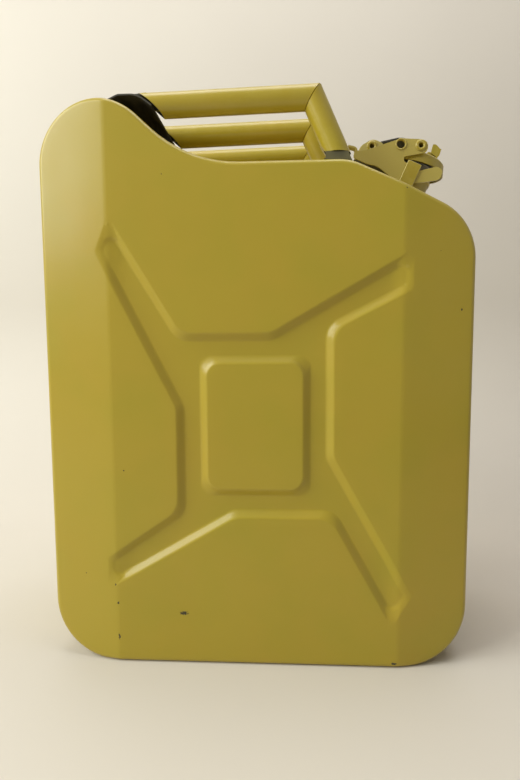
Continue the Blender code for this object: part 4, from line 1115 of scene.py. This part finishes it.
def make_enamel(name, wear, dust, hollows, chips=(), paint_share=1.0, shade_height=0):
    """Old enamel: below a full paint_share it is mixed paler as a painted highlight, and a painted
    shade darkens it up to a height.
    """
    material, graph, shader, place = start_material(name)
    tone = use(graph, "paint_tone", {
        "Vector": place, "Paint": MUSTARD, "Warm": WARM_MUSTARD, "Green": GREEN_MUSTARD,
        "Drift": PAINT_DRIFT,
    })
    rubbed = use(graph, "edge_wear", {"Vector": place, "Amount": wear})
    tone = graph.mix(rubbed, tone, RUBBED_PAINT_AND_HIGHLIGHT)
    # Below the full share, the pale tone paints highlight: a lit, paler enamel and the highlit
    # edges
    if paint_share < 1:
        tone = graph.mix(paint_share, RUBBED_PAINT_AND_HIGHLIGHT, tone)
    grime = use(graph, "grime", {"Vector": place, "Dust": dust, "Hollows": hollows})
    tone = graph.mix(grime, tone, SOIL)
    # Painted shade: darker below a height over the shoulder, where the bracket stands in shade
    if shade_height:
        shoulder = SHOULDER_FRAME.to_3x3() @ Vector((0, 0, 1))
        foot = graph.vector_math("SUBTRACT", place, SHOULDER_FRAME.translation)[0]
        above = graph.vector_math("DOT_PRODUCT", foot, shoulder)["Value"]
        shaded_below = graph.ramp(above, shade_height, shade_height * SHADE_FADE_SHARE)
        tone = graph.mix(shaded_below, tone, SHADE_BROWN)
    specks = {"Vector": place, "Density": 42.0, "Size": 0.035, "Share": 0.11}
    marks = use(graph, "specks", specks)
    for centre, stretch, radius in chips:
        chip = use(graph, "paint_chip", {
            "Vector": place, "Place": centre, "Stretch": stretch, "Radius": radius,
        })
        marks = graph.math("MAXIMUM", marks, chip)
    tone = graph.mix(marks, tone, PRIMER_AND_SHADE)
    graph.put(shader.inputs["Base Color"], tone)
    smudges = use(graph, "clouding", {
        "Vector": place, "Scale": 30.0, "Detail": 4.0, "Raggedness": 0.6, "High": 0.75,
        "Least": CLEAN_ENAMEL_ROUGHNESS, "Most": SMUDGED_ENAMEL_ROUGHNESS,
    })
    graph.put(shader.inputs["Roughness"], graph.math("MAXIMUM", smudges, marks))
    relief = {"Vector": place, "Peel": PEEL_HEIGHT, "Ripple": RIPPLE_HEIGHT}
    skin = use(graph, "paint_skin", relief)
    chipped = graph.math("MULTIPLY", marks, CHIP_DEPTH)
    graph.bump(shader, graph.math("SUBTRACT", skin, chipped))
    shader.inputs["Specular IOR Level"].default_value = ENAMEL_SPECULAR
    shader.inputs["Coat Weight"].default_value = ENAMEL_COAT
    shader.inputs["Coat Roughness"].default_value = ENAMEL_COAT_ROUGHNESS
    return material


def make_shade_coat(name, scale, thin, thick, least_roughness, most_roughness):
    """A dark coat that paints shade; thin and thick are its darker and paler tones, clouded
    together.
    """
    material, graph, shader, place = start_material(name)
    cloud = use(graph, "clouding", {"Vector": place, "Scale": scale})
    graph.put(shader.inputs["Base Color"], graph.mix(cloud, thin, thick))
    roughness = graph.ramp(cloud, 0, 1, least_roughness, most_roughness)
    graph.put(shader.inputs["Roughness"], roughness)
    return material


def make_zinc():
    """Satin zinc plate with a faint bloom."""
    material, graph, shader, place = start_material("zinc_plate")
    bloom = use(graph, "clouding", {
        "Vector": place, "Scale": 160.0, "Detail": 4.0, "Raggedness": 0.6, "Low": 0.0, "High": 1.0,
    })
    graph.put(shader.inputs["Base Color"], graph.mix(bloom, DULL_ZINC, BRIGHT_ZINC))
    graph.put(shader.inputs["Roughness"], graph.ramp(bloom, 0.3, 0.7, out_low=0.3, out_high=0.5))
    shader.inputs["Metallic"].default_value = 1.0
    graph.bump(shader, use(graph, "fine_grain", {"Vector": place}))
    return material


def make_rubber():
    """Matte black rubber, paler where it has bloomed."""
    material, graph, shader, place = start_material("gasket_rubber")
    bloom = use(graph, "clouding", {
        "Vector": place, "Scale": 120.0, "Detail": 4.0, "Raggedness": 0.6, "Low": 0.4, "High": 0.8,
    })
    graph.put(shader.inputs["Base Color"], graph.mix(bloom, CLEAN_RUBBER, BLOOMED_RUBBER))
    graph.put(shader.inputs["Roughness"], graph.ramp(bloom, 0, 1, out_low=0.6, out_high=0.8))
    grain = use(graph, "fine_grain", {"Vector": place, "Scale": 900.0, "Depth": 0.00002})
    graph.bump(shader, grain)
    return material


for group_name, build in (
    ("paint_tone", build_paint_tone),
    ("paint_skin", build_paint_skin),
    ("edge_wear", build_edge_wear),
    ("specks", build_specks),
    ("paint_chip", build_chip),
    ("grime", build_grime),
    ("clouding", build_clouding),
    ("fine_grain", build_fine_grain),
):
    GROUPS[group_name] = build()


# Studio

def make_camera():
    camera = bpy.data.cameras.new("camera")
    camera.sensor_fit = "VERTICAL"
    camera.sensor_height = SENSOR_HEIGHT
    camera.lens = FOCAL_PIXELS / IMAGE_HEIGHT * SENSOR_HEIGHT
    camera.clip_start = NEAR_CLIP
    stand = add_object("camera", camera)
    look = Matrix.Rotation(CAMERA_YAW, 4, "Z")
    look = look @ Matrix.Rotation(math.pi / 2 - CAMERA_PITCH, 4, "X")
    look = look @ Matrix.Rotation(CAMERA_ROLL, 4, "Z")
    stand.matrix_world = Matrix.Translation(CAMERA_PLACE) @ look
    bpy.context.scene.camera = stand


def make_lamp(name, place, target, size, power, colour):
    lamp = bpy.data.lights.new(name, "AREA")
    lamp.shape = "RECTANGLE"
    lamp.size, lamp.size_y = size
    lamp.energy = power
    lamp.color = colour
    stand = add_object(name, lamp)
    stand.location = place
    stand.rotation_euler = (Vector(target) - Vector(place)).to_track_quat("-Z", "Y").to_euler()
    stand.visible_glossy = name != UNMIRRORED_LAMP


def make_world():
    """A dim room that lights the can, and a pale one that is seen and reflected."""
    world = bpy.data.worlds.new("room")
    bpy.context.scene.world = world
    world.use_nodes = True
    graph = Graph(world.node_tree)
    room = world.node_tree.nodes["Background"]
    room.inputs["Color"].default_value = ROOM_LIGHT
    room.inputs["Strength"].default_value = ROOM_STRENGTH
    seen = graph.add("ShaderNodeBackground", {"Color": SEEN_ROOM})
    rays = graph.add("ShaderNodeLightPath").outputs
    looked = graph.math("MAXIMUM", rays["Is Camera Ray"], rays["Is Glossy Ray"])
    looked = graph.math("MAXIMUM", looked, rays["Is Transmission Ray"])
    choice = graph.add("ShaderNodeMixShader", {0: looked, 1: room.outputs[0], 2: seen.outputs[0]})
    graph.put(world.node_tree.nodes["World Output"].inputs["Surface"], choice.outputs[0])


def make_backdrop():
    """A floor that bends up into a wall behind the can."""
    bend_y = BACKDROP_BACK - BACKDROP_BEND
    profile = [(BACKDROP_FRONT, 0), (bend_y, 0)]
    for i in range(1, BACKDROP_STEPS):
        angle = math.pi / 2 * i / BACKDROP_STEPS
        rise = BACKDROP_BEND * (1 - math.cos(angle))
        profile.append((bend_y + BACKDROP_BEND * math.sin(angle), rise))
    profile += [(BACKDROP_BACK, BACKDROP_BEND), (BACKDROP_BACK, BACKDROP_HEIGHT)]
    bm = bmesh.new()
    ends = (-BACKDROP_HALF_WIDTH, BACKDROP_HALF_WIDTH)
    rows = [[bm.verts.new((x, y, z)) for x in ends] for y, z in profile]
    for near, far in zip(rows, rows[1:]):
        bm.faces.new((near[0], near[1], far[1], far[0]))
    backdrop = link_mesh("backdrop", bm, make_backdrop_paint(), None)


def make_backdrop_paint():
    material, graph, shader, place = start_material("pale_backdrop")
    cloud = use(graph, "clouding", {
        "Vector": place, "Scale": 3.0, "Detail": 2.0, "Low": 0.0, "High": 1.0,
    })
    graph.put(shader.inputs["Base Color"], graph.mix(cloud, *BACKDROP_TONES))
    shader.inputs["Roughness"].default_value = BACKDROP_ROUGHNESS
    return material


# Assembly

# How far the edges of the closure's pieces are rounded
SOFT_EDGES = {
    "seam_weld": 0,
    "neck": 0.0003,
    "hinge_bracket": 0.0004,
    "hinge_pin": 0.0002,
    "front_keeper": 0.0004,
    "rear_keeper": 0.0004,
    "lid": 0.0004,
    "lid_rivet": 0.0003,
    "front_cheek": 0.0007,
    "rear_cheek": 0.0007,
    "front_eyelet": 0.0002,
    "rear_eyelet": 0.0002,
    "lever_pin": 0.0002,
}
ARM_EDGE = 0.0004
THIN_EDGE = 0.0002
RUBBER_EDGE = 0.0003

# Pieces whose rounded edges get a painted highlight in the tone of rubbed paint
HIGHLIT_EDGE_NODES = (
    "front_cheek", "rear_cheek", "front_keeper", "rear_keeper",
    "hinge_pin", "front_eyelet", "rear_eyelet", "lever_pin",
)

# Chips and scratches of the front: place, stretch and radius
SHELL_CHIPS = (
    ((-0.0595, -0.0825, 0.0434), (0.42, 1, 0.9), 0.0014),
    ((-0.1165, -0.0822, 0.0673), (1, 1, 0.6), 0.0008),
    ((-0.1145, -0.0825, 0.0511), (1, 1, 0.7), 0.0009),
    ((-0.1144, -0.0825, 0.0219), (1, 1, 0.5), 0.0011),
    ((0.1121, -0.0825, 0.0042), (0.5, 1, 1), 0.0011),
    ((0.1613, -0.0737, 0.2901), (1, 1, 1), 0.0009),
    ((0.1157, -0.0824, 0.3808), (1, 1, 1), 0.0007),
    ((-0.1428, -0.0772, 0.0742), (1, 1, 1), 0.0006),
    ((-0.1066, -0.0825, 0.1629), (1, 1, 1), 0.0006),
)

# Shares of wear on the edges, of dust on top and of soil in hollows
BODY_AGE = (0.3, 0.08, 0.2)
FITTING_AGE = (0.12, 0.08, 0.12)
CHEEK_AGE = (0.12, 0.05, 0.12)
# The highlit edges' full wear is part of their painted highlight
HIGHLIT_EDGE_AGE = (1.0, 0.0, 0.0)
# Height of the painted shade on the bracket's base
BRACKET_SHADE_HEIGHT = 0.030
# Shares of the paint's colour that are kept; the rest is the pale tone, a painted highlight on the
# edges, the bracket and the cheeks
EDGE_PAINT = 0.1
BRACKET_PAINT = 0.35
CHEEK_PAINT = 0.62


def main():
    shell_paint = make_enamel("shell_enamel", *BODY_AGE, SHELL_CHIPS)
    fitting_paint = make_enamel("fitting_enamel", *FITTING_AGE)
    # clouds' scale, darker (thin) and paler (thick) tone of the painted shade, least and most
    # roughness
    dark = make_shade_coat("painted_shade_inside", 60.0, SHADE_BLACK, PRIMER_AND_SHADE, 0.5, 0.7)
    # The handles' feet take an olive painted shade
    foot_shade = make_shade_coat("foot_shade", 70.0, DEEP_FOOT_SHADE, PALE_FOOT_SHADE, 0.28, 0.4)
    zinc = make_zinc()
    rubber = make_rubber()
    make_shells(shell_paint)
    for name, place in (("front", -1), ("middle", 0), ("rear", 1)):
        make_handle(name + "_handle", place * HANDLE_SPACING, fitting_paint, dark, foot_shade)
    # Painted highlight for the rounded edges, in the tone of rubbed paint
    rubbed = make_enamel("highlit_edges", *HIGHLIT_EDGE_AGE, paint_share=EDGE_PAINT)
    # The bracket is paler as a painted highlight, with painted shade at its base; the cheeks are
    # paler as a painted highlight
    lit_and_shaded_bracket_paint = make_enamel(
        "lit_and_shaded_bracket_enamel", *FITTING_AGE,
        paint_share=BRACKET_PAINT, shade_height=BRACKET_SHADE_HEIGHT,
    )
    lit_cheek_paint = make_enamel("lit_cheek_enamel", *CHEEK_AGE, paint_share=CHEEK_PAINT)
    paints = {"hinge_bracket": lit_and_shaded_bracket_paint, "front_cheek": lit_cheek_paint, "rear_cheek": lit_cheek_paint}
    for node, edge in SOFT_EDGES.items():
        paint = paints.get(node, fitting_paint)
        edges = rubbed if node in HIGHLIT_EDGE_NODES else None
        soften(node, edge, paint, rubbed=edges)
    # The lid arm's underside and flange sides take the painted shade
    soften(
        "lid_arm", ARM_EDGE, fitting_paint, arm_in_painted_shade, dark,
        cuts=(ARM_SHADE_START, ARM_SHADE_END),
    )
    soften("breather_tube", THIN_EDGE, zinc)
    soften("gasket_plate", THIN_EDGE, zinc)
    soften("gasket", RUBBER_EDGE, rubber)
    make_world()
    for lamp in LAMPS:
        make_lamp(*lamp)
    make_backdrop()
    make_camera()
    bpy.context.scene.view_settings.view_transform = "Standard"


main()
